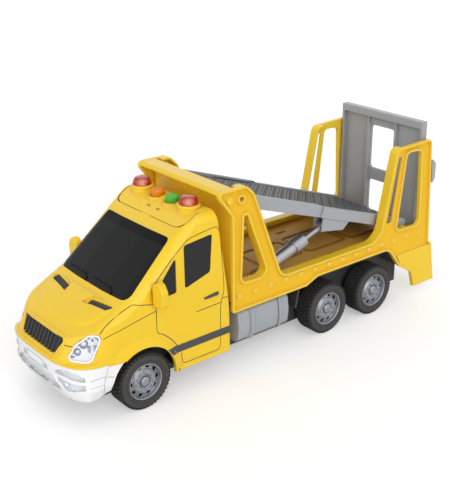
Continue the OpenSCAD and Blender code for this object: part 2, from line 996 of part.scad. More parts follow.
module flywheel() {
  mesh_turn = 90 + 180 / pinion_teeth;
  color("gray") {
    rotate_about([rear_x1, fly_z], mesh_turn)
      disc_y([rear_x1, fly_z], gear_outline(pinion_teeth, gear_module), 5.6, 10.4);
    rod_y([rear_x1, fly_z], 2 * fly_r, -11, -3);
    rod_y([rear_x1, fly_z], fly_shaft_d, -case_half - 1, case_half + 1);
  }
}

module drive_case() {
  low_x = rear_x1 - fly_r - 4;
  high_x = rear_x1 + fly_r + 4;
  top = fly_z + fly_r + 2;
  color("white")
    difference() {
      block([low_x, -case_half, tray_top + seat], [high_x, case_half, top]);
      block([low_x + case_t, -case_half + case_t, 0], [high_x - case_t, case_half - case_t, top - case_t]);
      rod_y([rear_x1, axle_z], axle_d + 2 * play, -case_half - 1, case_half + 1);
      rod_y([rear_x1, fly_z], fly_shaft_d + 2 * run, -case_half - 1, case_half + 1);
    }
}

module bed_floor() {
  slot = [9, 2.6];
  floor_slot = [-64, 26.4];
  color("#a87a3c")
    difference() {
      union() {
        block([bed_rear, -bed_half, floor_low], [bed_front, bed_half, floor_z]);
        for (x = post_x)
          both_sides()
            rod_z([x, post_y], post_d, tray_top + seat, floor_z - 1);
        both_sides()
          for (y = [cheek_in - cheek_t, cheek_out])
            plate_xz(rounded(ram_foot()), y, y + cheek_t);
      }
      for (x = post_x)
        both_sides()
          rod_z([x, post_y], screw_core, 0, tray_top + 9);
      both_sides() {
        block(concat(floor_slot - slot / 2, [0]), concat(floor_slot + slot / 2, [floor_z + 1]));
        rod_y(ram_base, ram_pin_d + 2 * seat, 0, bed_half);
      }
    }
}

// Outline of a cheek that carries a cylinder's foot
function ram_foot() = [
  [ram_base[0] - 4, floor_z - 1, 0],
  [ram_base[0] + 5, floor_z - 1, 0],
  [ram_base[0] + 3, ram_base[1] + 3.4, 2.4],
  [ram_base[0] - 3, ram_base[1] + 3.4, 2.4]
];

// Side wall outline, listed counter-clockwise
function wall_outline() = [
  [wall_front, wall_low, 1.2],
  [wall_front, 111, 6],
  [49.8, 120.6, 5],
  [54.5, beam_z - 3, 3],
  [51.4, beam_z, 3],
  [31, beam_z, 6],
  [24.6, beam_z - 6.4, 8],
  [-0.6, opening_z, 8],
  [-91, opening_z, 11],
  [-99, 64.6, 11],
  [-111.6, column_z - 1, 5],
  [-149.6, column_z + 0.4, 4],
  [-155, wall_low, 2],
  [-158.7, 41.4, 1],
  [-159.6, 34.6, 1],
  [flap_rear, flap_low, 0.6],
  [-140.8, flap_low, 0.6],
  [-136.9, 22.3, 4],
  [-122, 31.5, 4],
  [-109, arch_z, 12],
  [-34.6, arch_z, 4],
  [-24, wall_low, 4]
];

// Triangular window of the front column
function front_window() = [
  [12.2, 63.2, 5],
  [35.2, 63.8, 4],
  [33.2, 110, 1.2],
  [30.6, 110, 1.2]
];

// Window of the rear column
function rear_window() = [
  [-141.6, 61, 4],
  [-116, 62, 4],
  [-123, 121, 4],
  [-138.6, 120, 4]
];

// Slit beside the rear window
function column_slit() = [
  [-108.8, 70, 0.8],
  [-106.2, 70, 0.8],
  [-115.6, 118, 0.8],
  [-117.4, 118, 0.8]
];

// Raised rim round a window of a side wall
module window_rim(outline, depth) {
  difference() {
    plate_xz(rounded(inset(outline, -wall_t)), web_in - depth, wall_out);
    plate_xz(rounded(outline), web_in - depth - 1, wall_out + 1);
  }
}

module side_wall(s) {
  outline = wall_outline();
  rim_rear = -118;
  color("gold")
    on_side(s)
      difference() {
        union() {
          difference() {
            plate_xz(rounded(outline), web_in, wall_out);
            plate_xz(rounded(inset(outline, wall_t)), web_out, wall_out + 1);
          }
          plate_xz(flap_panel(), web_in, wall_out - 0.4);
          difference() {
            plate_xz(rounded(outline), rim_in, web_in + eps);
            plate_xz(rounded(inset(outline, wall_t)), rim_in - 1, web_in + 1);
            block([flap_rear - 1, 0, 0], [rim_rear, wall_out, 2 * beam_z]);
            block([rim_rear - 1, 0, 0], [wall_front + 1, wall_out, floor_z + 1]);
            block([bed_front - 2, 0, 0], [2 * wall_front, wall_out, 2 * beam_z]);
          }
          window_rim(front_window(), wall_rim);
          window_rim(rear_window(), 0);
          for (i = [0:rivet_n - 1])
            block([rivet_x0 - i * rivet_pitch - rivet_s / 2, web_in, rivet_z - rivet_s / 2],
                  [rivet_x0 - i * rivet_pitch + rivet_s / 2, web_out + 0.8, rivet_z + rivet_s / 2]);
          rod_y(boss_solid, 5, web_in, wall_out - 0.4);
          rod_y(boss_open, 6.4, web_in, wall_out);
          rod_y(deck_pin, pivot_d, deck_half + play, web_in + eps);
        }
        plate_xz(rounded(front_window()), 0, wall_out + 1);
        plate_xz(rounded(rear_window()), 0, wall_out + 1);
        plate_xz(rounded(column_slit()), 0, wall_out + 1);
        rod_y(boss_open, 3.6, 0, wall_out + 1);
        rod_y(deck_pin, deck_pin_d + 2 * seat, 0, pin_end + seat);
        rod_y(gate_pin, gate_pin_d + 2 * seat, 0, pin_end + seat);
      }
}

// Plain panel of the rear flap below the column
function flap_panel() = rounded([
  [-155.5, 40.6, 0],
  [-159, 40.2, 0.6],
  [-159.4, 34.6, 1],
  [flap_rear + 0.4, flap_low + 0.4, 0.6],
  [-140.6, flap_low + 0.4, 0.6],
  [-136.9, 22.6, 4],
  [-124, 31.4, 2],
  [-119, 40.6, 0]
]);

module headboard() {
  beam = [
    [bed_front, beam_z - beam_t, 0],
    [bed_front + 12.4, beam_z - beam_t, 0.8],
    [bed_front + 13.4, beam_z - 2.2, 0.8],
    [bed_front + 11.8, beam_z, 1.5],
    [bed_front, beam_z, 1.5]
  ];
  color("gold") {
    plate_xz(rounded(beam), -bed_half, bed_half);
    block([bed_front, -bed_half, floor_low], [bed_front + panel_t, bed_half, beam_z - beam_t + eps]);
  }
}

// Children in the deck's own frame, with its pivot as origin
module deck_place() {
  translate([deck_pin[0], 0, deck_pin[1]])
    rotate([0, -deck_tilt, 0])
      children();
}

// Outline of a deck side rail, with its step, in the deck's own frame
function deck_rail() = [
  [deck_rear, rail_low, 2],
  [deck_front, rail_low, 1],
  [deck_front, rail_top, 2],
  [rail_step[1], rail_top, 1],
  [rail_step[0], rail_top - rail_drop, 1],
  [deck_rear, rail_top - rail_drop, 3]
];

// Outline of a lift bracket under a rail, in the deck's own frame
function lift_bracket() = [
  [bracket_u + 5, ram_eye[1], 1.5],
  [ram_eye[0] + 3, ram_eye[1] - 3.2, 2],
  [ram_eye[0] + 5, rail_low + 1, 0],
  [bracket_u, rail_low + 1, 0]
];

module deck_frame() {
  cross_bars = [0, 50, 110, deck_front - 4];
  color("#a7a9ac")
    deck_place()
      difference() {
        union() {
          both_sides() {
            plate_xz(rounded(deck_rail()), deck_half - rail_w, deck_half);
            plate_xz(rounded(lift_bracket()), cheek_out, deck_half);
            plate_xz(rounded(lift_bracket()), cheek_in - cheek_t, cheek_in);
            block([bracket_u, cheek_in - cheek_t, rail_low], [ram_eye[0] + 5, deck_half, rail_low + 1.4]);
            rod_y(ram_eye, ram_pin_d, cheek_in - cheek_t, deck_half);
            rod_y([0, 0], pivot_d, deck_half - 8, deck_half);
          }
          for (u = cross_bars)
            block([u - 2, -deck_half + rail_w - eps, rail_low + 0.6],
                  [u + 2, deck_half - rail_w + eps, tread_low]);
        }
        rod_y([0, 0], deck_pin_d + 2 * run, -deck_half - 1, -deck_half + 7);
        rod_y([0, 0], deck_pin_d + 2 * run, deck_half - 7, deck_half + 1);
      }
}

module deck_tread() {
  tread_half = deck_half - rail_w - seat;
  color("#3a3b3d")
    deck_place()
      block([deck_rear + 4, -tread_half, tread_low], [deck_front - 1, tread_half, tread_low + tread_t]);
}

// Children in a cylinder's own frame: foot pin at the origin, rod along +X
module ram_place(s) {
  translate([ram_base[0], s * ram_y, ram_base[1]])
    rotate([0, 180 + ram_angle, 0])
      children();
}

// Round bar along X between u0 and u1
module bar_x(d, u0, u1) {
  translate([u0, 0, 0])
    rotate([0, 90, 0])
      cylinder(d = d, h = u1 - u0);
}

module barrel(s) {
  color("silver")
    ram_place(s)
      difference() {
        union() {
          bar_x(barrel_d, barrel_start, barrel_end);
          bar_x(head_d, barrel_end - head_len, barrel_end);
          bar_x(head_d + 0.6, barrel_end - head_len - 1.6, barrel_end - head_len);
          block([0, -eye_w / 2, -2.6], [barrel_start + 1, eye_w / 2, 2.6]);
          rod_y([0, 0], 5.2, -eye_w / 2, eye_w / 2);
        }
        bar_x(rod_d + 2 * run, barrel_start + 2, barrel_end + 1);
        rod_y([0, 0], ram_pin_d + 2 * run, -eye_w, eye_w);
      }
}

module rod(s) {
  eye_d = ram_pin_d + 5.4;
  color("silver")
    ram_place(s)
      difference() {
        union() {
          bar_x(rod_d, rod_start, ram_len - 2);
          intersection() {
            rod_y([ram_len, 0], eye_d, -eye_w / 2, eye_w / 2);
            block([ram_len - eye_d, -eye_w, -eye_d / 2], [ram_len + eye_d, eye_w, eye_d / 2]);
          }
        }
        plate_xz(rounded([
          [ram_len - ram_pin_d / 2 - slot_long, -ram_pin_d / 2 - slot_wide, 1.2],
          [ram_len + ram_pin_d / 2 + slot_long, -ram_pin_d / 2 - slot_wide, 1.2],
          [ram_len + ram_pin_d / 2 + slot_long, ram_pin_d / 2 + slot_wide, 1.2],
          [ram_len - ram_pin_d / 2 - slot_long, ram_pin_d / 2 + slot_wide, 1.2]
        ]), -eye_w, eye_w);
      }
}

// Outline of a tailgate window in Y and Z
function gate_window(z0, z1) = [
  [-12, z0, 3],
  [12, z0, 3],
  [12, z1, 3],
  [-12, z1, 3]
];

module tailgate() {
  knuckle_d = 5.6;
  sill = gate_pin[1] - 0.6;
  rail_t = 2.2;
  color("#77787b")
    difference() {
      union() {
        block([gate_back, -gate_half, sill], [gate_front, gate_half, gate_z]);
        both_sides() {
          block([gate_back, gate_half - rail_t, floor_z + 6], [gate_front + gate_rail, gate_half, gate_z]);
          block([gate_back, 12.8, floor_z + 6], [gate_front + gate_rail - 1, 15, gate_z - 2]);
          rod_y(gate_pin, knuckle_d, gate_half - 12, gate_half);
          plate_xz(rounded(gate_ear(gate_back + 1)), gate_half - 2, gate_half);
          plate_xz(rounded(gate_ear(ear_front)), gate_half - 2, wall_out + 0.4);
        }
        block([gate_back, -gate_half, gate_z - 5.6], [gate_front + gate_rail, gate_half, gate_z]);
      }
      plate_yz(rounded(gate_window(92.8, 127.2)), gate_back - 9, gate_front + 9);
      plate_yz(rounded(gate_window(57, 83.2)), gate_back - 9, gate_front + 9);
      both_sides()
        rod_y(gate_pin, gate_pin_d + 2 * run, gate_half - 13, gate_half + 1);
    }
}

// Rounded ear of the tailgate behind a side wall's rear edge, in X and Z, from station x
function gate_ear(x) = [
  [x - ear_slant, ear_z[0], 0],
  [x + ear_slant, ear_z[1], 0],
  [ear_rear + 3, ear_z[1], 1],
  [ear_rear, ear_z[1] - 3, 3],
  [ear_rear, ear_z[0] + 3, 3],
  [ear_rear + 2, ear_z[0], 1]
];

module hinge_pins() {
  color("silver")
    both_sides() {
      rod_y(deck_pin, deck_pin_d, deck_half - 6.6, pin_end);
      rod_y(gate_pin, gate_pin_d, gate_half - 12, pin_end);
      rod_y(ram_base, ram_pin_d, cheek_in - cheek_t, cheek_out + cheek_t);
    }
}

chassis_frame();
axle(front_axle_x);  // front_axle
axle(rear_x1);  // rear_axle_1
axle(rear_x2);  // rear_axle_2
tyre(front_axle_x, 1);  // tyre_front_left
tyre(front_axle_x, -1);  // tyre_front_right
tyre(rear_x1, 1);  // tyre_middle_left
tyre(rear_x1, -1);  // tyre_middle_right
tyre(rear_x2, 1);  // tyre_rear_left
tyre(rear_x2, -1);  // tyre_rear_right
rim(front_axle_x, 1);  // rim_front_left
rim(front_axle_x, -1);  // rim_front_right
rim(rear_x1, 1);  // rim_middle_left
rim(rear_x1, -1);  // rim_middle_right
rim(rear_x2, 1);  // rim_rear_left
rim(rear_x2, -1);  // rim_rear_right
fuel_tank(1);  // fuel_tank_left
fuel_tank(-1);  // fuel_tank_right
battery_door();
battery_cells();
circuit_board();
speaker();
beacon_leds();
drive_case();
drive_gear();
flywheel();
chassis_screws();
cab_shell();
roof_panel();
windscreen();
side_glass(1);  // side_glass_left
side_glass(-1);  // side_glass_right
grille();
hood_vents();
front_bumper();
lamp_lens(1);  // lamp_lens_left
lamp_lens(-1);  // lamp_lens_right
lamp_reflector(1);  // lamp_reflector_left
lamp_reflector(-1);  // lamp_reflector_right
door_mirror(1);  // mirror_left
door_mirror(-1);  // mirror_right
beacon(1);  // beacon_left
beacon(-1);  // beacon_right
green_button();
orange_button();
switch_pad(1);  // green_pad
switch_pad(-1);  // orange_pad
bed_floor();
side_wall(1);  // side_wall_left
side_wall(-1);  // side_wall_right
headboard();
deck_frame();
deck_tread();
barrel(1);  // barrel_left
barrel(-1);  // barrel_right
rod(1);  // rod_left
rod(-1);  // rod_right
tailgate();
hinge_pins();
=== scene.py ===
"""Looks of a toy tow truck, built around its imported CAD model.

Sizes are millimetres in the truck's frame: X forward, Y to its left side, Z up from the ground.
"""

import logging
import math
from contextlib import contextmanager
from dataclasses import dataclass
from enum import Enum
from typing import Callable, Iterable, Iterator, Sequence

import bmesh
import bpy
from mathutils import Matrix, Vector
from mathutils.bvhtree import BVHTree


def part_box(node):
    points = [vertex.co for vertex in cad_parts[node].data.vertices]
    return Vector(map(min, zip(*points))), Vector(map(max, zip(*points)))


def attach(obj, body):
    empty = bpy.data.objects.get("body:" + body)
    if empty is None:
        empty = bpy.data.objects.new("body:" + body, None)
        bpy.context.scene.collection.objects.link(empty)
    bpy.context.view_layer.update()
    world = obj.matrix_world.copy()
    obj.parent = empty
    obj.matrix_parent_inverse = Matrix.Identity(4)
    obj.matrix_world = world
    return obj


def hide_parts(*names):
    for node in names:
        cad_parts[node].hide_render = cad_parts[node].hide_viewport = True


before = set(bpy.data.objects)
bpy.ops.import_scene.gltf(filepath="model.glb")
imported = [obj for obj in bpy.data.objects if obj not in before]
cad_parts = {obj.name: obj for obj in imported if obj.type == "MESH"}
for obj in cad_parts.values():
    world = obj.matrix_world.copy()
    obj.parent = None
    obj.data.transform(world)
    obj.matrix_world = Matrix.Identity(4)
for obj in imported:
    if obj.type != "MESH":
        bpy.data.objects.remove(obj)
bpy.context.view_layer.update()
LOG = logging.getLogger("tow_truck")
MM = 0.001
SIDES = (("left", 1), ("right", -1))
CHASSIS = "chassis"
UPWARD, DOWNWARD, BACKWARD = (Vector(way) for way in ((0, 0, 1), (0, 0, -1), (-1, 0, 0)))
HIGH, AHEAD = 150.0, 200.0
BUMP_DEPTH = 0.1 * MM
LENS_IOR = 1.46
BAND_BLACK = (0.0015, 0.0015, 0.0015, 1.0)
ROUND_OVER, STAY_FLAT, CREASE = 34.0, 1.5, 50.0
SEAM_STEP = 1.6
CUT_OVER = 0.6
CORNER_SHARE = 0.49
BLOCK_EASE = 0.15

Flat = tuple[float, float]
Point = tuple[float, float, float]
Spot = tuple[Vector, Vector]
Piece = bpy.types.Object
Material = bpy.types.Material
Node = bpy.types.Node
Socket = bpy.types.NodeSocket


def linear(code: str) -> tuple[float, float, float, float]:
    """Linear colour, with an alpha of 1, of a screen colour in six hexadecimal digits."""
    parts = [int(code[i:i + 2], 16) / 255 for i in (0, 2, 4)]
    return (*(c / 12.92 if c <= 0.04045 else ((c + 0.055) / 1.055) ** 2.4 for c in parts), 1.0)


class Graph:
    """A node tree that is being wired."""

    def __init__(self, tree: bpy.types.NodeTree) -> None:
        """Takes the tree that nodes are added to."""
        self.tree = tree

    def feed(self, node: Node, inputs: dict) -> Node:
        """Fills a node's inputs.

        Args:
            node: The node.
            inputs: Socket name or number, and the value or output socket for it.

        Returns:
            The node.
        """
        for key, value in inputs.items():
            if isinstance(value, Socket):
                self.tree.links.new(value, node.inputs[key])
            else:
                node.inputs[key].default_value = value
        return node

    def add(self, kind: str, inputs: dict | None = None, **settings) -> Node:
        """Adds a node.

        Args:
            kind: Blender's name of the node type.
            inputs: Socket name or number, and the value or output socket for it.
            settings: Properties of the node.

        Returns:
            The new node.
        """
        node = self.tree.nodes.new(kind)
        for key, value in settings.items():
            setattr(node, key, value)
        return self.feed(node, inputs or {})

    def math(self, operation: str, a, b=0.5, c=0.5) -> Socket:
        """Adds a Math node for up to three values or sockets, and returns its output."""
        return self.add("ShaderNodeMath", {0: a, 1: b, 2: c}, operation=operation).outputs[0]

    def mix(self, share, a, b) -> Socket:
        """Mixes colour a with a share of colour b, and returns the output."""
        return self.add("ShaderNodeMix", {0: share, 6: a, 7: b}, data_type="RGBA").outputs[2]


class GroupGraph(Graph):
    """The tree of a node group, with its input and output nodes."""

    def __init__(self, tree: bpy.types.NodeTree) -> None:
        """Takes a tree whose sockets are in place."""
        super().__init__(tree)
        self.given = self.add("NodeGroupInput")
        self.result = self.add("NodeGroupOutput")

    def take(self, name: str) -> Socket:
        """One of the group's inputs."""
        return self.given.outputs[name]


@dataclass(frozen=True)
class Group:
    """A node group with the names and types of its sockets, made on first use."""

    name: str
    kind: str
    inputs: dict[str, str]
    outputs: dict[str, str]
    wire: Callable[[GroupGraph], None]

    def tree(self) -> bpy.types.NodeTree:
        """Finds the group's tree, or makes it.

        Returns:
            The tree.
        """
        tree = bpy.data.node_groups.get(self.name)
        if tree is None:
            tree = bpy.data.node_groups.new(self.name, self.kind)
            for way, sockets in (("INPUT", self.inputs), ("OUTPUT", self.outputs)):
                for label, kind in sockets.items():
                    tree.interface.new_socket(label, in_out=way, socket_type=f"NodeSocket{kind}")
            self.wire(GroupGraph(tree))
        return tree

    def place(self, graph: Graph, **inputs) -> Node:
        """Places the group in a material, with values or sockets for its inputs."""
        return graph.add("ShaderNodeGroup", inputs, node_tree=self.tree())


def wire_grain(graph: GroupGraph) -> None:
    """Fills the grain group: fine pitting of a moulded surface, and broad changes of tone.

    Args:
        graph: The group's tree.
    """
    place = graph.take("Vector")
    fine = graph.add("ShaderNodeTexNoise", {"Vector": place, "Scale": graph.take("Scale"), "Detail": 3.0,
                                            "Roughness": 0.6})
    broad = graph.add("ShaderNodeTexNoise", {"Vector": place, "Scale": 38.0, "Detail": 4.0})
    graph.feed(graph.result, {"Height": fine.outputs[0], "Tone": broad.outputs[0]})


def wire_edge(graph: GroupGraph) -> None:
    """Fills the edge group: rounded normals at sharp edges, and a mask that is bright there, which paints a highlight
    on the edges.

    Args:
        graph: The group's tree.
    """
    soft = graph.add("ShaderNodeBevel", {"Radius": graph.take("Radius")}, samples=6).outputs[0]
    plain = graph.add("ShaderNodeNewGeometry").outputs["Normal"]
    same = graph.add("ShaderNodeVectorMath", {0: soft, 1: plain}, operation="DOT_PRODUCT").outputs["Value"]
    mask = graph.add("ShaderNodeMapRange", {"Value": graph.math("SUBTRACT", 1.0, same), 1: 0.01, 2: 0.22})
    graph.feed(graph.result, {"Normal": soft, "Mask": mask.outputs[0]})


def wire_recess(graph: GroupGraph) -> None:
    """Fills the recess shade group: a mask that grows in corners, slots and under overhangs, which paints shade
    there.

    Args:
        graph: The group's tree.
    """
    open_sky = graph.add("ShaderNodeAmbientOcclusion", {"Distance": graph.take("Reach")}, samples=6)
    mask = graph.add("ShaderNodeMapRange", {"Value": open_sky.outputs["AO"], 1: 0.92, 2: 0.3})
    graph.feed(graph.result, {"Mask": mask.outputs[0]})


def wire_streak(graph: GroupGraph) -> None:
    """Fills the streak group: fine drawn lines of worked metal.

    Args:
        graph: The group's tree.
    """
    place = graph.add("ShaderNodeMapping", {"Vector": graph.take("Vector"), "Scale": (60.0, 900.0, 900.0)})
    lines = graph.add("ShaderNodeTexNoise", {"Vector": place.outputs[0], "Scale": 3.0, "Detail": 2.0})
    graph.feed(graph.result, {"Height": lines.outputs[0]})


SHADER = "ShaderNodeTree"
GRAIN = Group("Moulded grain", SHADER, {"Vector": "Vector", "Scale": "Float"}, {"Height": "Float", "Tone": "Float"},
              wire_grain)
EDGE = Group("Soft edge", SHADER, {"Radius": "Float"}, {"Normal": "Vector", "Mask": "Float"}, wire_edge)
RECESS = Group("Recess shade", SHADER, {"Reach": "Float"}, {"Mask": "Float"}, wire_recess)
STREAK = Group("Drawn streaks", SHADER, {"Vector": "Vector"}, {"Height": "Float"}, wire_streak)


def blank(made: Material | bpy.types.World) -> Graph:
    """Clears the nodes of a material or a world, and returns its graph."""
    made.use_nodes = True
    made.node_tree.nodes.clear()
    return Graph(made.node_tree)


@dataclass(frozen=True)
class Finish:
    """A surface of one material, made of a Principled shader with worked colour, gloss and relief."""

    name: str
    colour: str
    # shade: a darker colour, for random changes of tone and for the painted shade in recesses.
    shade: str
    # light: a paler colour, for the painted highlight on sharp edges; on lit parts, the glow's colour.
    light: str
    roughness: float = 0.35
    metallic: float = 0.0
    coat: float = 0.0
    edge: float = 0.35
    # reach and the two shares set how far the painted recess shade reaches and how strong the painted shade and the
    # painted edge highlight are.
    reach: float = 4.0
    shade_share: float = 0.75
    highlight_share: float = 0.35
    grain: float = 0.06
    grain_scale: float = 2600.0
    tone_share: float = 0.10
    specular: float = 0.5
    gloss: float = 0.12

    def material(self) -> Material:
        """The finish as a material, made on first use."""
        return bpy.data.materials.get(f"{self.name}_finish") or self.make()

    def make(self) -> Material:
        """Makes the material.

        Returns:
            The material.
        """
        made = bpy.data.materials.new(f"{self.name}_finish")
        graph = blank(made)
        shader = graph.add("ShaderNodeBsdfPrincipled", {"Roughness": self.roughness, "Metallic": self.metallic,
                                                        "Coat Weight": self.coat, "Coat Roughness": 0.08,
                                                        "Specular IOR Level": self.specular})
        graph.add("ShaderNodeOutputMaterial", {"Surface": shader.outputs[0]})
        graph.feed(shader, self.surface(graph, graph.add("ShaderNodeTexCoord").outputs["Object"]))
        return made

    def base(self, graph: Graph, place: Socket) -> tuple[Socket, Node]:
        """Colour before shading, as the finish's own pattern gives it.

        Args:
            graph: The material's tree.
            place: Object coordinates.

        Returns:
            The colour socket and the grain node.
        """
        grain = GRAIN.place(graph, Vector=place, Scale=self.grain_scale)
        share = graph.math("MULTIPLY", grain.outputs["Tone"], self.tone_share)
        return graph.mix(share, linear(self.colour), linear(self.shade)), grain

    def relief(self, graph: Graph, place: Socket, grain: Node) -> Socket:
        """Height of the fine relief."""
        return grain.outputs["Height"]

    def surface(self, graph: Graph, place: Socket) -> dict:
        """Wires the colour, gloss and relief; the colour carries painted shade in recesses and a painted highlight on
        sharp edges.

        Args:
            graph: The material's tree.
            place: Object coordinates.

        Returns:
            What goes into the shader's inputs.
        """
        colour, grain = self.base(graph, place)
        height = self.relief(graph, place, grain)
        edge = EDGE.place(graph, Radius=self.edge * MM)
        recess = RECESS.place(graph, Reach=self.reach * MM)
        # Painted shade and painted highlight: the colour turns towards the shade colour in corners, slots and under
        # overhangs, and towards the light colour on sharp edges.
        for node, share, tint in ((recess, self.shade_share, self.shade), (edge, self.highlight_share, self.light)):
            colour = graph.mix(graph.math("MULTIPLY", node.outputs["Mask"], share), colour, linear(tint))
        rough = graph.math("MULTIPLY_ADD", height, self.gloss, self.roughness - self.gloss / 2)
        bump = graph.add("ShaderNodeBump", {"Strength": self.grain, "Distance": BUMP_DEPTH, "Height": height,
                                            "Normal": edge.outputs["Normal"]})
        return {"Base Color": colour, "Roughness": rough, "Normal": bump.outputs[0]}

    def smooth_surface(self, graph: Graph, place: Socket) -> dict:
        """Wires the colour and gloss of a surface without relief.

        Args:
            graph: The material's tree.
            place: Object coordinates.

        Returns:
            What goes into the shader's inputs.
        """
        colour, grain = self.base(graph, place)
        return {"Base Color": colour,
                "Roughness": graph.math("MULTIPLY_ADD", grain.outputs["Tone"], 0.04, self.roughness)}


@dataclass(frozen=True)
class Metal(Finish):
    """Bright metal with drawn streaks."""

    gloss: float = 0.14

    def relief(self, graph: Graph, place: Socket, grain: Node) -> Socket:
        """Height of the streaks."""
        return STREAK.place(graph, Vector=place).outputs["Height"]


@dataclass(frozen=True)
class Lit(Finish):
    """Plastic that glows: the beacons' lamps, and the beacons' stars, whose glow is a painted glint."""

    glow: float = 1.0

    def surface(self, graph: Graph, place: Socket) -> dict:
        """Adds the glow to a smooth surface."""
        return self.smooth_surface(graph, place) | {"IOR": LENS_IOR, "Emission Strength": self.glow,
                                                    "Emission Color": linear(self.light)}


@dataclass(frozen=True)
class Cover(Finish):
    """Thin lens plastic that is seen through, and grows more opaque towards grazing angles as a painted sheen."""

    veil: float = 0.12
    blend: float = 0.35
    edge_sheen: float = 0.3

    def surface(self, graph: Graph, place: Socket) -> dict:
        """Adds the veil, with its painted sheen at grazing angles, to a smooth surface."""
        facing = graph.add("ShaderNodeLayerWeight", {"Blend": self.blend}).outputs["Facing"]
        alpha = graph.math("MULTIPLY_ADD", facing, self.edge_sheen, self.veil)
        return self.smooth_surface(graph, place) | {"Alpha": alpha}


@dataclass(frozen=True)
class Banded(Finish):
    """Dark glazing with a plain black band above a height."""

    band_z: float = 101.4
    fade_low: float = 72.0
    fade_top: float = 100.0
    fade_share: float = 0.55

    def base(self, graph: Graph, place: Socket) -> tuple[Socket, Node]:
        """Colour before shading: darker towards the top, ending in the band.

        Args:
            graph: The material's tree.
            place: Object coordinates.

        Returns:
            The colour socket and the grain node.
        """
        grain = GRAIN.place(graph, Vector=place, Scale=self.grain_scale)
        height = graph.add("ShaderNodeSeparateXYZ", {0: place}).outputs[2]
        fade = graph.add("ShaderNodeMapRange", {"Value": height, 1: self.fade_low * MM, 2: self.fade_top * MM,
                                                3: 0.0, 4: self.fade_share}).outputs[0]
        band = graph.math("GREATER_THAN", height, self.band_z * MM)
        colour = graph.mix(fade, linear(self.colour), linear(self.shade))
        return graph.mix(band, colour, BAND_BLACK), grain


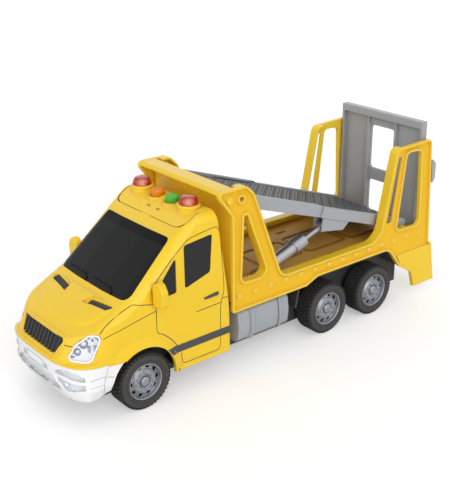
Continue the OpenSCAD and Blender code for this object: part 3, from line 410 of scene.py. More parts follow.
class Paint(Enum):
    """The truck's finishes."""

    # Each finish: its colour, a darker colour for random tone and painted recess shade, and a paler colour for the
    # painted edge highlight or, on lit parts, the glow.
    YELLOW = Finish("yellow_moulding", "FAD22C", "CE8F08", "FFF09A", roughness=0.34, coat=0.08, edge=0.8, reach=4.0,
                    highlight_share=0.7, specular=0.35)
    # Matt, darker yellow for the sunk faces of the side walls: partly painted shade.
    YELLOW_PANEL = Finish("yellow_panel", "F6C526", "CE8F08", "FFF09A", roughness=0.5, edge=0.8, reach=4.0,
                          highlight_share=0.7, grain=0.12, specular=0.25)
    # Darker yellow and amber for the faces of seams and grooves: painted shade in them.
    SEAM = Finish("yellow_seam", "8A5A0A", "5E3C06", "A8740F", roughness=0.5)
    AMBER_SEAM = Finish("amber_groove", "C08838", "8A5A1E", "D8A456", roughness=0.5)
    AMBER = Finish("amber_moulding", "E8B254", "A87426", "F0C676", roughness=0.5, reach=5.0, specular=0.25)
    WHITE = Finish("white_bumper", "FDFDFE", "C6CACF", "FFFFFF", roughness=0.28, coat=0.2, reach=5.0)
    # Greyer white for the faces of the bumper's recesses, notches and seams: painted shade.
    RECESS = Finish("white_recess", "EAECEF", "AEB3B9", "F0F2F4", roughness=0.35, reach=4.0)
    BLACK = Finish("black_moulding", "1D1D1F", "0B0B0C", "3A3A3D", roughness=0.45, grain=0.12)
    GUARD = Finish("dark_grey_moulding", "3C3D40", "1B1C1E", "5A5B5F", roughness=0.5, grain=0.12)
    WIPER = Finish("wiper_black", "0B0B0C", "050505", "18181A", roughness=0.6, specular=0.15)
    STRIPE = Finish("grey_stripe", "4A4B4F", "303134", "5C5D61", roughness=0.4)
    GLAZING = Banded("dark_glazing", "202022", "141516", "4C4D50", roughness=0.22, grain=0.015, shade_share=0.35,
                     tone_share=0.05, specular=0.12)
    SIDE_GLAZING = Finish("dark_side_glazing", "323234", "1A1B1C", "4A4B4E", roughness=0.22, grain=0.015,
                          specular=0.15)
    LENS = Cover("clear_cover", "FBFCFF", "E4EAF6", "FFFFFF", roughness=0.06, tone_share=0.3, veil=0.04)
    CHROME = Metal("bright_chrome", "B4B7BC", "6C6E73", "FFFFFF", roughness=0.3, metallic=0.8, reach=3.0)
    STEEL = Metal("drawn_steel", "B9BABD", "6D6E72", "E0E1E4", roughness=0.32, metallic=1.0)
    RIM = Metal("satin_silver", "A6AAB2", "232427", "E6E9EE", roughness=0.36, metallic=0.6, reach=2.0,
                shade_share=0.95, grain=0.03, highlight_share=0.6)
    RED_LENS = Cover("red_cover", "BE0A08", "7A0404", "E8281C", roughness=0.06, coat=0.5, tone_share=0.3, veil=0.66)
    LED = Lit("lit_lamp", "FFF3D8", "FFE9BE", "FFF0C8", roughness=0.2, glow=1.6)
    # The beacon stars' glow is a painted glint; they are no lamps.
    GLINT = Lit("beacon_glint", "FFF0C8", "FFE08A", "FFE9B0", roughness=0.25, glow=0.9)
    # Reflector colours: white as a painted reflection on the chrome reflector, blue-grey and dark grey as painted
    # shade.
    LAMP_WHITE = Finish("lamp_white", "FCFDFF", "D5DAE8", "FFFFFF", roughness=0.2, coat=0.5, reach=0.4,
                        shade_share=0.4)
    LAMP_BLUE = Finish("lamp_blue_grey", "A4ABC6", "7A819C", "CDD2E4", roughness=0.25, coat=0.3, reach=0.5)
    LAMP_DARK = Finish("lamp_dark", "666B80", "454A5C", "8F94AA", roughness=0.25, coat=0.3, reach=0.5)
    GREEN = Finish("green_button", "52B834", "2C7A1E", "8ADB74", roughness=0.34, coat=0.1, specular=0.3)
    ORANGE = Finish("orange_button", "EA8800", "B05C00", "FFAE40", roughness=0.34, coat=0.1, specular=0.3)
    LIGHT_GREY = Finish("light_grey_moulding", "A9ADB3", "6C6F74", "D0D3D8", roughness=0.36, reach=5.0)
    MID_GREY = Finish("mid_grey_moulding", "A8AAAC", "707174", "D0D2D4", roughness=0.36, reach=8.0)
    TREAD = Finish("dark_grey_tread", "4B4C4F", "29292B", "6B6C70", roughness=0.5, grain=0.12)
    RUBBER = Finish("tyre_rubber", "474443", "1A1919", "5B5857", roughness=0.62, grain=0.2, reach=2.0, specular=0.3)
    TREAD_RUBBER = Finish("tread_rubber", "333232", "0C0C0C", "5A5857", roughness=0.6, grain=0.2, reach=1.2,
                          specular=0.3)
    PAD = Finish("switch_rubber", "4A4A4C", "2A2A2C", "606063", roughness=0.7)
    BOARD = Finish("board_lacquer", "1F5E33", "123B20", "3C8A55", roughness=0.4)

    def material(self) -> Material:
        """The finish as a material."""
        return self.value.material()


class Slot(Enum):
    """Names of the record's material slots."""

    YELLOW = "yellow_body"
    WHITE = "white_plastic"
    BLACK = "black_plastic"
    GLAZING = "dark_glazing"
    LENS = "clear_lens"
    CHROME = "chrome_trim"
    RED = "red_lens"
    GREEN = "green_plastic"
    ORANGE = "orange_plastic"
    AMBER = "amber_floor"
    LIGHT_GREY = "light_grey"
    DARK_GREY = "dark_grey"
    MID_GREY = "mid_grey"
    STEEL = "steel"
    TYRE = "tyre"
    RIM = "silver_rim"


def placed(name: str, mesh: bpy.types.ID) -> Piece:
    """Links a new object with the mesh or other data to the scene, and returns it."""
    made = bpy.data.objects.new(name, mesh)
    bpy.context.scene.collection.objects.link(made)
    return made


def build_mesh(name: str, points: Iterable[Sequence[float]], faces: Iterable[Sequence[int]]) -> Piece:
    """Makes an object from points in millimetres.

    Args:
        name: Name of the piece.
        points: Corners.
        faces: Corner numbers of each face.

    Returns:
        The new object.
    """
    mesh = bpy.data.meshes.new(name)
    mesh.from_pydata([tuple(c * MM for c in p) for p in points], [], [tuple(f) for f in faces])
    mesh.validate()
    return placed(name, mesh)


@contextmanager
def edited(mesh: bpy.types.Mesh) -> Iterator[bmesh.types.BMesh]:
    """Opens a mesh for editing, and writes it back at the end."""
    work = bmesh.new()
    work.from_mesh(mesh)
    yield work
    work.to_mesh(mesh)
    work.free()


def welded(work: bmesh.types.BMesh, weld: float, sliver: float) -> None:
    """Merges points closer than one distance and drops faces thinner than another, in millimetres."""
    bmesh.ops.remove_doubles(work, verts=work.verts, dist=weld * MM)
    bmesh.ops.dissolve_degenerate(work, edges=work.edges, dist=sliver * MM)


def recalculated(made: Piece) -> Piece:
    """Merges doubles and turns all faces outward, and returns the object."""
    with edited(made.data) as work:
        welded(work, 0.002, 0.001)
        bmesh.ops.recalc_face_normals(work, faces=work.faces)
    return made


def filled(made: Piece) -> Piece:
    """Merges doubles, drops slivers and loose edges and fills open holes, and returns the object."""
    with edited(made.data) as work:
        welded(work, 0.004, 0.004)
        bmesh.ops.delete(work, geom=[e for e in work.edges if e.is_wire], context="EDGES")
        bare = [e for e in work.edges if e.is_boundary]
        if bare:
            bmesh.ops.holes_fill(work, edges=bare, sides=0)
    return made


def baked(made: Piece) -> Piece:
    """Turns an object's modifiers into plain mesh, and returns the object."""
    evaluated = made.evaluated_get(bpy.context.evaluated_depsgraph_get())
    mesh = bpy.data.meshes.new_from_object(evaluated)
    made.modifiers.clear()
    old = made.data
    made.data = mesh
    bpy.data.meshes.remove(old)
    mesh.name = made.name
    return made


def smoothed(made: Piece, angle: float) -> Piece:
    """Shades an object smooth, with creases at sharp edges.

    Args:
        made: The object.
        angle: Edges that turn more than this stay sharp, in degrees.

    Returns:
        The object.
    """
    made.data.shade_smooth()
    made.data.set_sharp_from_angle(angle=math.radians(angle))
    change = made.modifiers.new("normals", "WEIGHTED_NORMAL")
    change.keep_sharp = True
    return baked(made)


def bevelled(made: Piece, width: float) -> Piece:
    """Rounds an object's sharp edges.

    Args:
        made: The object.
        width: Width of the rounding in millimetres.

    Returns:
        The object, with plain mesh.
    """
    change = made.modifiers.new("edges", "BEVEL")
    change.width = width * MM
    change.segments = 2
    change.limit_method = "ANGLE"
    change.angle_limit = math.radians(ROUND_OVER)
    change.use_clamp_overlap = False
    change.miter_outer = "MITER_ARC"
    change.harden_normals = False
    return smoothed(baked(made), CREASE)


def remove(shape: Piece) -> None:
    """Deletes a helper object and its mesh."""
    mesh = shape.data
    bpy.data.objects.remove(shape)
    bpy.data.meshes.remove(mesh)


def cut(made: Piece, cutters: Sequence[Piece]) -> Piece:
    """Cuts shapes out of an object.

    Args:
        made: The object.
        cutters: Closed shapes to take away. They are removed afterwards.

    Returns:
        The object, with plain mesh.
    """
    group = bpy.data.collections.new("cutters")
    for shape in cutters:
        group.objects.link(shape)
    change = made.modifiers.new("cut", "BOOLEAN")
    change.operation = "DIFFERENCE"
    change.operand_type = "COLLECTION"
    change.collection = group
    change.solver = "EXACT"
    change.material_mode = "TRANSFER"
    baked(made)
    bpy.data.collections.remove(group)
    for shape in cutters:
        remove(shape)
    return made


def joined(name: str, shapes: Sequence[Piece]) -> Piece:
    """Joins objects into one, and keeps their materials.

    Args:
        name: Name of the joined piece.
        shapes: Objects to join. They are removed.

    Returns:
        The joined object.
    """
    work = bmesh.new()
    slots: list[Material] = []
    for shape in shapes:
        start = len(work.faces)
        work.from_mesh(shape.data)
        work.faces.ensure_lookup_table()
        own = list(shape.data.materials)
        for face in work.faces[start:]:
            material = own[min(face.material_index, len(own) - 1)]
            if material not in slots:
                slots.append(material)
            face.material_index = slots.index(material)
    mesh = bpy.data.meshes.new(name)
    work.to_mesh(mesh)
    work.free()
    for material in slots:
        mesh.materials.append(material)
    for shape in shapes:
        remove(shape)
    return placed(name, mesh)


def painted(made: Piece, paint: Paint) -> Piece:
    """Gives an object one finish on all faces, and returns it."""
    made.data.materials.clear()
    made.data.materials.append(paint.material())
    for face in made.data.polygons:
        face.material_index = 0
    return made


def settle(made: Piece, body: str, slot: Slot, *nodes: str) -> None:
    """Parents a finished piece to its body's empty, hides the CAD nodes that it stands for, and logs it.

    Args:
        made: The piece.
        body: The body that it rides on.
        slot: The record's slot for its finish; not used.
        nodes: CAD nodes that it stands for.
    """
    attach(made, body)
    if nodes:
        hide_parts(*nodes)
    LOG.info("piece %s on %s, %d faces", made.name, body, len(made.data.polygons))


def copy_node(node: str, name: str) -> Piece:
    """Copies a CAD node with its triangles merged into plain faces.

    Args:
        node: The CAD node.
        name: Name of the copy.

    Returns:
        The copy.
    """
    work = bmesh.new()
    work.from_mesh(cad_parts[node].data)
    welded(work, 0.003, 0.003)
    bmesh.ops.dissolve_limit(work, angle_limit=math.radians(STAY_FLAT), verts=work.verts, edges=work.edges)
    mesh = bpy.data.meshes.new(name)
    work.to_mesh(mesh)
    work.free()
    return placed(name, mesh)


class Skin:
    """The surface of CAD nodes, for laying details on it."""

    def __init__(self, *nodes: str) -> None:
        """Reads the surfaces of the named nodes."""
        points: list[Vector] = []
        faces: list[tuple[int, ...]] = []
        for node in nodes:
            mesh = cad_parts[node].data
            start = len(points)
            points += [v.co.copy() for v in mesh.vertices]
            faces += [tuple(start + i for i in f.vertices) for f in mesh.polygons]
        self.tree = BVHTree.FromPolygons(points, faces)

    def near(self, point: Sequence[float]) -> Spot:
        """Nearest place on the surface, in millimetres, and the normal there."""
        place, normal, _, _ = self.tree.find_nearest(Vector(point) * MM)
        return place / MM, normal

    def along(self, start: Sequence[float], way: Sequence[float]) -> Spot:
        """First place that a ray meets.

        Args:
            start: The ray's start in millimetres.
            way: The ray's direction.

        Returns:
            The place in millimetres and the surface's normal there.
        """
        place, normal, _, _ = self.tree.ray_cast(Vector(start) * MM, Vector(way))
        if place is None:
            return self.near(start)
        return place / MM, normal

    def from_above(self, x: float, y: float) -> Spot:
        """First place under a point high above the truck, and the normal there."""
        return self.along((x, y, HIGH), DOWNWARD)

    def from_ahead(self, y: float, z: float) -> Spot:
        """First place behind a point far in front of the truck, and the normal there."""
        return self.along((AHEAD, y, z), BACKWARD)


def eased(share: float) -> float:
    """A share kept between 0 and 1, with soft ends."""
    share = min(1.0, max(0.0, share))
    return share * share * (3 - 2 * share)


def middle_of(outline: Sequence[Sequence[float]]) -> Vector:
    """Mean of an outline's corners."""
    return Vector((sum(p[0] for p in outline), sum(p[1] for p in outline))) / len(outline)


def resampled(path: Sequence[Sequence[float]], step: float, closed: bool = False) -> list[Vector]:
    """Points along a line at an even step.

    Args:
        path: Corners of the line.
        step: Largest distance between points.
        closed: Whether the line ends where it starts.

    Returns:
        The points.
    """
    corners = [Vector(p) for p in path]
    if closed:
        corners.append(corners[0])
    out = []
    for a, b in zip(corners, corners[1:]):
        count = max(1, math.ceil((b - a).length / step))
        out += [a.lerp(b, i / count) for i in range(count)]
    return out if closed else out + [corners[-1]]


def smooth_line(path: Sequence[Sequence[float]], step: float) -> list[Vector]:
    """Points along a smooth curve through corners.

    Args:
        path: Points that the curve passes.
        step: Distance between points.

    Returns:
        The points.
    """
    knots = [Vector(p) for p in path]
    out = []
    for i in range(len(knots) - 1):
        a, b = knots[i], knots[i + 1]
        before = knots[i - 1] if i else a * 2 - b
        after = knots[i + 2] if i + 2 < len(knots) else b * 2 - a
        count = max(1, math.ceil((b - a).length / step))
        for k in range(count):
            t = k / count
            out.append(0.5 * (2 * a + (b - before) * t + (2 * before - 5 * a + 4 * b - after) * t * t
                              + (3 * a - before - 3 * b + after) * t ** 3))
    return out + [knots[-1]]


def bridged(rings: int, count: int, closed: bool = False) -> list[tuple[int, ...]]:
    """Faces between rings of points.

    Args:
        rings: Number of rings.
        count: Number of points in each.
        closed: Whether the last ring joins the first.

    Returns:
        The faces, with caps on the ends if it isn't closed.
    """
    faces = []
    for i in range(rings if closed else rings - 1):
        a, b = i * count, (i + 1) % rings * count
        faces += [(a + k, a + (k + 1) % count, b + (k + 1) % count, b + k) for k in range(count)]
    if not closed:
        last = (rings - 1) * count
        faces += [tuple(range(count))[::-1], tuple(range(last, last + count))]
    return faces


def sweep(name: str, spots: Sequence[Spot], section: Sequence[Flat], closed: bool = False) -> Piece:
    """Draws a section along a line.

    Args:
        name: Name of the object.
        spots: Points of the line in millimetres, each with its up direction.
        section: Outline across the line, sideways and up.
        closed: Whether the line is a loop.

    Returns:
        A closed shape.
    """
    count = len(spots)
    points = []
    for i, (place, up) in enumerate(spots):
        before = spots[i - 1][0] if i or closed else place
        after = spots[(i + 1) % count][0] if i + 1 < count or closed else place
        ahead = (after - before).normalized()
        side = up.cross(ahead).normalized()
        lift = ahead.cross(side).normalized()
        points += [place + side * a + lift * b for a, b in section]
    return recalculated(build_mesh(name, points, bridged(count, len(section), closed)))


def round_section(radius: float, flat: float, count: int = 10) -> list[Flat]:
    """Oval outline for a sweep, with its half width and its height over width."""
    return [(radius * math.cos(2 * math.pi * i / count), flat * radius * math.sin(2 * math.pi * i / count))
            for i in range(count)]


def lathe(name: str, profile: Sequence[Flat], steps: int, flutes: int = 0, wave: float = 0.0) -> Piece:
    """Turns a profile about the Y axis.

    Args:
        name: Name of the object.
        profile: Radius and place along Y of each corner, as a closed loop.
        steps: Number of steps round.
        flutes: Number of waves round.
        wave: Height of a wave as a share of the radius.

    Returns:
        A closed shape.
    """
    points = []
    for i in range(steps):
        angle = 2 * math.pi * i / steps
        swell = 1 + wave * math.cos(flutes * angle)
        points += [(r * swell * math.cos(angle), y, r * swell * math.sin(angle)) for r, y in profile]
    return recalculated(build_mesh(name, points, bridged(steps, len(profile), True)))


def loft(name: str, rings: Sequence[Sequence[Sequence[float]]]) -> Piece:
    """Joins outlines of equal length, one after the other, into a closed shape."""
    points = [p for ring in rings for p in ring]
    return recalculated(build_mesh(name, points, bridged(len(rings), len(rings[0]))))


def rounded(corners: Sequence[Sequence[float]], radius: float, steps: int = 5) -> list[Flat]:
    """Flat outline with rounded corners.

    Args:
        corners: Corners of the outline.
        radius: Radius of each corner.
        steps: Steps round each corner.

    Returns:
        The outline.
    """
    out: list[Flat] = []
    count = len(corners)
    for i in range(count):
        here, before, after = (Vector(corners[j % count][:2]) for j in (i, i - 1, i + 1))
        a, b = (before - here).normalized(), (after - here).normalized()
        half = a.angle(b) / 2
        longest = CORNER_SHARE * min((before - here).length, (after - here).length)
        reach = min(radius / math.tan(half), longest)
        start, end = here + a * reach, here + b * reach
        for k in range(steps + 1):
            t = k / steps
            spot = start.lerp(here, t).lerp(here.lerp(end, t), t)
            out.append((spot.x, spot.y))
    return out


def box_outline(low: Flat, top: Flat, radius: float, steps: int = 5) -> list[Flat]:
    """Rounded rectangle between two opposite corners."""
    return rounded((low, (top[0], low[1]), top, (low[0], top[1])), radius, steps)


def mirrored(made: Piece, name: str) -> Piece:
    """Copies an object to the truck's other side.

    Args:
        made: The object.
        name: Name of the copy.

    Returns:
        The copy.
    """
    mesh = made.data.copy()
    with edited(mesh) as work:
        bmesh.ops.scale(work, vec=(1, -1, 1), verts=work.verts)
        bmesh.ops.reverse_faces(work, faces=work.faces)
    return placed(name, mesh)


def settle_both(left: Piece, slot: Slot) -> None:
    """Hands over a left-hand piece of the chassis and its mirror image."""
    for made in (left, mirrored(left, left.name.replace("left", "right"))):
        settle(made, CHASSIS, slot)


def moved(made: Piece, shift: Sequence[float], turn: Matrix | None = None) -> Piece:
    """Turns an object's mesh about the origin, shifts it in millimetres, and returns the object."""
    place = Matrix.Translation(Vector(shift) * MM)
    made.data.transform(place @ turn.to_4x4() if turn else place)
    return made


def end_repeats(graph: GroupGraph, place: Socket, turn: Socket) -> None:
    """Ends a tree that repeats a shape: points, instances, realised mesh and material.

    Args:
        graph: The tree.
        place: Position of each point.
        turn: Rotation of each instance.
    """
    total = graph.math("MULTIPLY", graph.take("Count"), graph.take("Rows"))
    points = graph.add("GeometryNodePoints", {"Count": total, "Position": place})
    shape = graph.add("GeometryNodeObjectInfo", {"Object": graph.take("Shape")})
    many = graph.add("GeometryNodeInstanceOnPoints", {"Points": points.outputs[0],
                                                      "Instance": shape.outputs["Geometry"], "Rotation": turn})
    real = graph.add("GeometryNodeRealizeInstances", {"Geometry": many.outputs[0]})
    dressed = graph.add("GeometryNodeSetMaterial", {"Geometry": real.outputs[0], "Material": graph.take("Material")})
    graph.feed(graph.result, {"Geometry": dressed.outputs[0]})


def row_and_step(graph: GroupGraph) -> tuple[Socket, Socket]:
    """Row of each point, and its number in the row.

    Args:
        graph: The tree.

    Returns:
        The two sockets.
    """
    index = graph.add("GeometryNodeInputIndex").outputs[0]
    row = graph.math("FLOOR", graph.math("DIVIDE", index, graph.take("Count")))
    return row, graph.math("MODULO", index, graph.take("Count"))


def wire_ring(graph: GroupGraph) -> None:
    """Fills the ring tree: rows of shapes round the Y axis.

    Args:
        graph: The tree.
    """
    row, step = row_and_step(graph)
    step = graph.math("MULTIPLY_ADD", graph.math("MODULO", row, 2.0), graph.take("Stagger"), step)
    angle = graph.math("DIVIDE", graph.math("MULTIPLY", step, 2 * math.pi), graph.take("Count"))
    middle = graph.math("MULTIPLY_ADD", graph.take("Rows"), 0.5, -0.5)
    across = graph.math("MULTIPLY", graph.math("SUBTRACT", row, middle), graph.take("Pitch"))
    x = graph.math("MULTIPLY", graph.math("COSINE", angle), graph.take("Radius"))
    z = graph.math("MULTIPLY", graph.math("SINE", angle), graph.take("Radius"))
    place = graph.add("ShaderNodeCombineXYZ", {0: x, 1: across, 2: z}).outputs[0]
    turn = graph.add("ShaderNodeCombineXYZ", {1: graph.math("MULTIPLY", angle, -1.0)}).outputs[0]
    end_repeats(graph, place, turn)


def wire_grid(graph: GroupGraph) -> None:
    """Fills the grid tree: rows of shapes at even steps, turned one way and the other in turn.

    Args:
        graph: The tree.
    """
    row, step = row_and_step(graph)
    other = graph.math("MODULO", graph.math("ADD", row, step), 2.0)
    along = graph.add("ShaderNodeVectorMath", {0: graph.take("Step"), "Scale": step}, operation="SCALE")
    down = graph.add("ShaderNodeVectorMath", {0: graph.take("Row Step"), "Scale": row}, operation="SCALE")
    both = graph.add("ShaderNodeVectorMath", {0: along.outputs[0], 1: down.outputs[0]})
    place = graph.add("ShaderNodeVectorMath", {0: both.outputs[0], 1: graph.take("Start")}).outputs[0]
    turn = graph.add("ShaderNodeMix", {0: other, 4: graph.take("Turn"), 5: graph.take("Other Turn")},
                     data_type="VECTOR").outputs[1]
    end_repeats(graph, place, turn)


GEOMETRY = {"Geometry": "Geometry"}
REPEAT = GEOMETRY | {"Shape": "Object", "Material": "Material", "Count": "Int", "Rows": "Int"}
ROUND_SIZES = dict.fromkeys(("Radius", "Pitch", "Stagger"), "Float")
GRID_SIZES = dict.fromkeys(("Start", "Step", "Row Step", "Turn", "Other Turn"), "Vector")
RING = Group("repeat_ring", "GeometryNodeTree", REPEAT | ROUND_SIZES, GEOMETRY, wire_ring)
GRID = Group("repeat_grid", "GeometryNodeTree", REPEAT | GRID_SIZES, GEOMETRY, wire_grid)


def repeated(name: str, group: Group, shape: Piece, paint: Paint, count: int, **sizes) -> Piece:
    """Repeats a shape with a Geometry Nodes tree.

    Args:
        name: Name of the result.
        group: Which tree: RING or GRID.
        shape: The shape to repeat. It is removed.
        paint: Finish of the result.
        count: Number of shapes in a row.
        sizes: The tree's other inputs, with spaces written as underscores, in metres.

    Returns:
        The result as plain mesh.
    """
    tree = group.tree()
    made = build_mesh(name, [(0, 0, 0)], [])
    change = made.modifiers.new("repeat", "NODES")
    change.node_group = tree
    values = {"Shape": shape, "Material": paint.material(), "Count": count, "Rows": 1}
    values.update({key.replace("_", " "): value for key, value in sizes.items()})
    for item in tree.interface.items_tree:
        if item.in_out == "INPUT" and item.name in values:
            change[item.identifier] = values[item.name]
    baked(made)
    remove(shape)
    return made


def block(low: float, top: float, wide: float, deep: float, wide_top: float, deep_top: float) -> Piece:
    """A block that stands on the X axis and tapers outward.

    Args:
        low: Its foot's X.
        top: Its top's X.
        wide: Foot's width along Y.
        deep: Foot's width along Z.
        wide_top: Top's width along Y.
        deep_top: Top's width along Z.

    Returns:
        The block.
    """
    rings = []
    ease = BLOCK_EASE
    for x, y, z in ((low, wide, deep), (top - ease, wide_top + ease, deep_top + ease), (top, wide_top, deep_top)):
        rings.append([(x, a * y / 2, b * z / 2) for a, b in ((-1, -1), (1, -1), (1, 1), (-1, 1))])
    return loft("block", rings)


class Stage:
    """Floor, light and camera."""

    CAMERA = (389.46, 461.46, 315.65)
    YAW, PITCH, ROLL = 230.551, 22.767, -0.280
    FOCUS_PX, CENTRE_PX, FRAME_PX = 926.31, (228.94, 251.84), (450, 504)
    SENSOR = 36.0
    FLOOR_HALF = 4000.0
    FLOOR_GLOW = 0.36
    SKY_LIGHT = 0.55
    PALE = (0.86, 0.86, 0.86, 1.0)
    WHITE = (1.0, 1.0, 1.0, 1.0)
    SUNS = (("key", (0.3, 0.9, 0.5), 50.0, 1.2), ("fill", (1.0, 0.2, 0.14), 60.0, 0.75),
            ("far_side", (-0.5, -0.9, 0.5), 60.0, 0.3))

    def camera(self) -> None:
        """Places the camera as the photograph's."""
        yaw, pitch, roll = (math.radians(a) for a in (self.YAW, self.PITCH, self.ROLL))
        ahead = Vector((math.cos(yaw) * math.cos(pitch), math.sin(yaw) * math.cos(pitch), -math.sin(pitch)))
        right = ahead.cross(UPWARD).normalized()
        up = right.cross(ahead)
        right, up = right * math.cos(roll) + up * math.sin(roll), up * math.cos(roll) - right * math.sin(roll)
        data = bpy.data.cameras.new("camera")
        long_side = max(self.FRAME_PX)
        data.sensor_width = self.SENSOR
        data.lens = self.FOCUS_PX / long_side * self.SENSOR
        data.shift_x = (self.FRAME_PX[0] / 2 - self.CENTRE_PX[0]) / long_side
        data.shift_y = (self.CENTRE_PX[1] - self.FRAME_PX[1] / 2) / long_side
        data.clip_start, data.clip_end = 0.01, 50.0
        place = Matrix((right, up, -ahead)).transposed().to_4x4()
        place.translation = Vector(self.CAMERA) * MM
        made = placed("camera", data)
        made.matrix_world = place
        bpy.context.scene.camera = made

    @staticmethod
    def lamp(name: str, way: Point, spread: float, strength: float) -> None:
        """Adds a broad, distant lamp.

        Args:
            name: Name of the lamp.
            way: Direction from the truck to the lamp.
            spread: Angle that the lamp fills, in degrees.
            strength: Its strength.
        """
        data = bpy.data.lights.new(name, "SUN")
        data.angle, data.energy = math.radians(spread), strength
        placed(name, data).rotation_euler = Vector(way).to_track_quat("Z", "Y").to_euler()

    @staticmethod
    def seen(graph: Graph, *rays: str) -> Socket:
        """Mask of the camera's rays and of other kinds of ray.

        Args:
            graph: The tree.
            rays: The other kinds.

        Returns:
            The mask.
        """
        path = graph.add("ShaderNodeLightPath").outputs
        mask = path["Is Camera Ray"]
        for ray in rays:
            mask = graph.math("MAXIMUM", mask, path[f"Is {ray} Ray"])
        return mask

    def world(self) -> None:
        """Lights the scene evenly, with a white background."""
        made = bpy.data.worlds.new("studio")
        graph = blank(made)
        seen = self.seen(graph, "Transmission", "Glossy")
        strength = graph.math("MULTIPLY_ADD", seen, 1.0 - self.SKY_LIGHT, self.SKY_LIGHT)
        sky = graph.add("ShaderNodeBackground", {"Color": self.WHITE, "Strength": strength})
        graph.add("ShaderNodeOutputWorld", {"Surface": sky.outputs[0]})
        bpy.context.scene.world = made

    def floor(self) -> None:
        """Lays the pale floor."""
        half = self.FLOOR_HALF
        made = build_mesh("floor", [(-half, -half, 0), (half, -half, 0), (half, half, 0), (-half, half, 0)],
                          [(0, 1, 2, 3)])
        material = bpy.data.materials.new("pale_floor")
        graph = blank(material)
        strength = graph.math("MULTIPLY", self.seen(graph, "Transmission"), self.FLOOR_GLOW)
        shader = graph.add("ShaderNodeBsdfPrincipled", {"Base Color": self.PALE, "Roughness": 0.9,
                                                        "Specular IOR Level": 0.1, "Emission Color": self.WHITE,
                                                        "Emission Strength": strength})
        graph.add("ShaderNodeOutputMaterial", {"Surface": shader.outputs[0]})
        made.data.materials.append(material)

    def build(self) -> None:
        """Sets up the whole stage."""
        self.camera()
        self.world()
        self.floor()
        for lamp in self.SUNS:
            self.lamp(*lamp)
        bpy.context.scene.view_settings.view_transform = "Standard"


NODE_PAINT = {
    Paint.STEEL: ("battery_cells", "flywheel", "chassis_screws", "front_axle", "rear_axle_1", "rear_axle_2",
                  "hinge_pins"),
    Paint.BOARD: ("circuit_board",), Paint.GUARD: ("speaker",), Paint.LED: ("beacon_leds",),
    Paint.WHITE: ("drive_case", "drive_gear"), Paint.YELLOW: ("roof_panel",), Paint.GLAZING: ("windscreen",),
    Paint.SIDE_GLAZING: ("side_glass_left", "side_glass_right"), Paint.LENS: ("lamp_lens_left", "lamp_lens_right"),
    Paint.PAD: ("green_pad", "orange_pad"),
}


def dress_nodes() -> None:
    """Gives every CAD node its finish, black where none is named."""
    paints = {node: paint for paint, nodes in NODE_PAINT.items() for node in nodes}
    for node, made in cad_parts.items():
        painted(made, paints.get(node, Paint.BLACK))


def soften(node: str, width: float, paint: Paint, slot: Slot, body: str = CHASSIS) -> None:
    """Replaces a CAD node by a copy with rounded edges.

    Args:
        node: The CAD node.
        width: Width of the rounding in millimetres.
        paint: Finish of the copy.
        slot: The record's slot for the finish.
        body: The body that it rides on.
    """
    made = bevelled(copy_node(node, f"{node}_soft"), width)
    settle(painted(made, paint), body, slot, node)


def groove(skin: Skin, path: Sequence[Point], width: float, depth: float, paint: Paint = Paint.SEAM,
           round_corners: bool = True) -> list[Piece]:
    """Makes cutters for a seam on a surface and on its mirror image.

    Args:
        skin: The surface.
        path: Corners of the seam on the left side.
        width: Width of the seam.
        depth: Depth of the seam.
        paint: Finish of the seam's faces, a darker colour that paints shade into the seam.
        round_corners: Whether the seam curves through its corners.

    Returns:
        The two cutters.
    """
    line = smooth_line(path, SEAM_STEP) if round_corners else resampled(path, SEAM_STEP)
    half = width / 2
    section = ((-half, -depth), (half, -depth), (half, CUT_OVER), (-half, CUT_OVER))
    left = painted(sweep("seam", [skin.near(p) for p in line], section), paint)
    return [left, mirrored(left, "seam")]


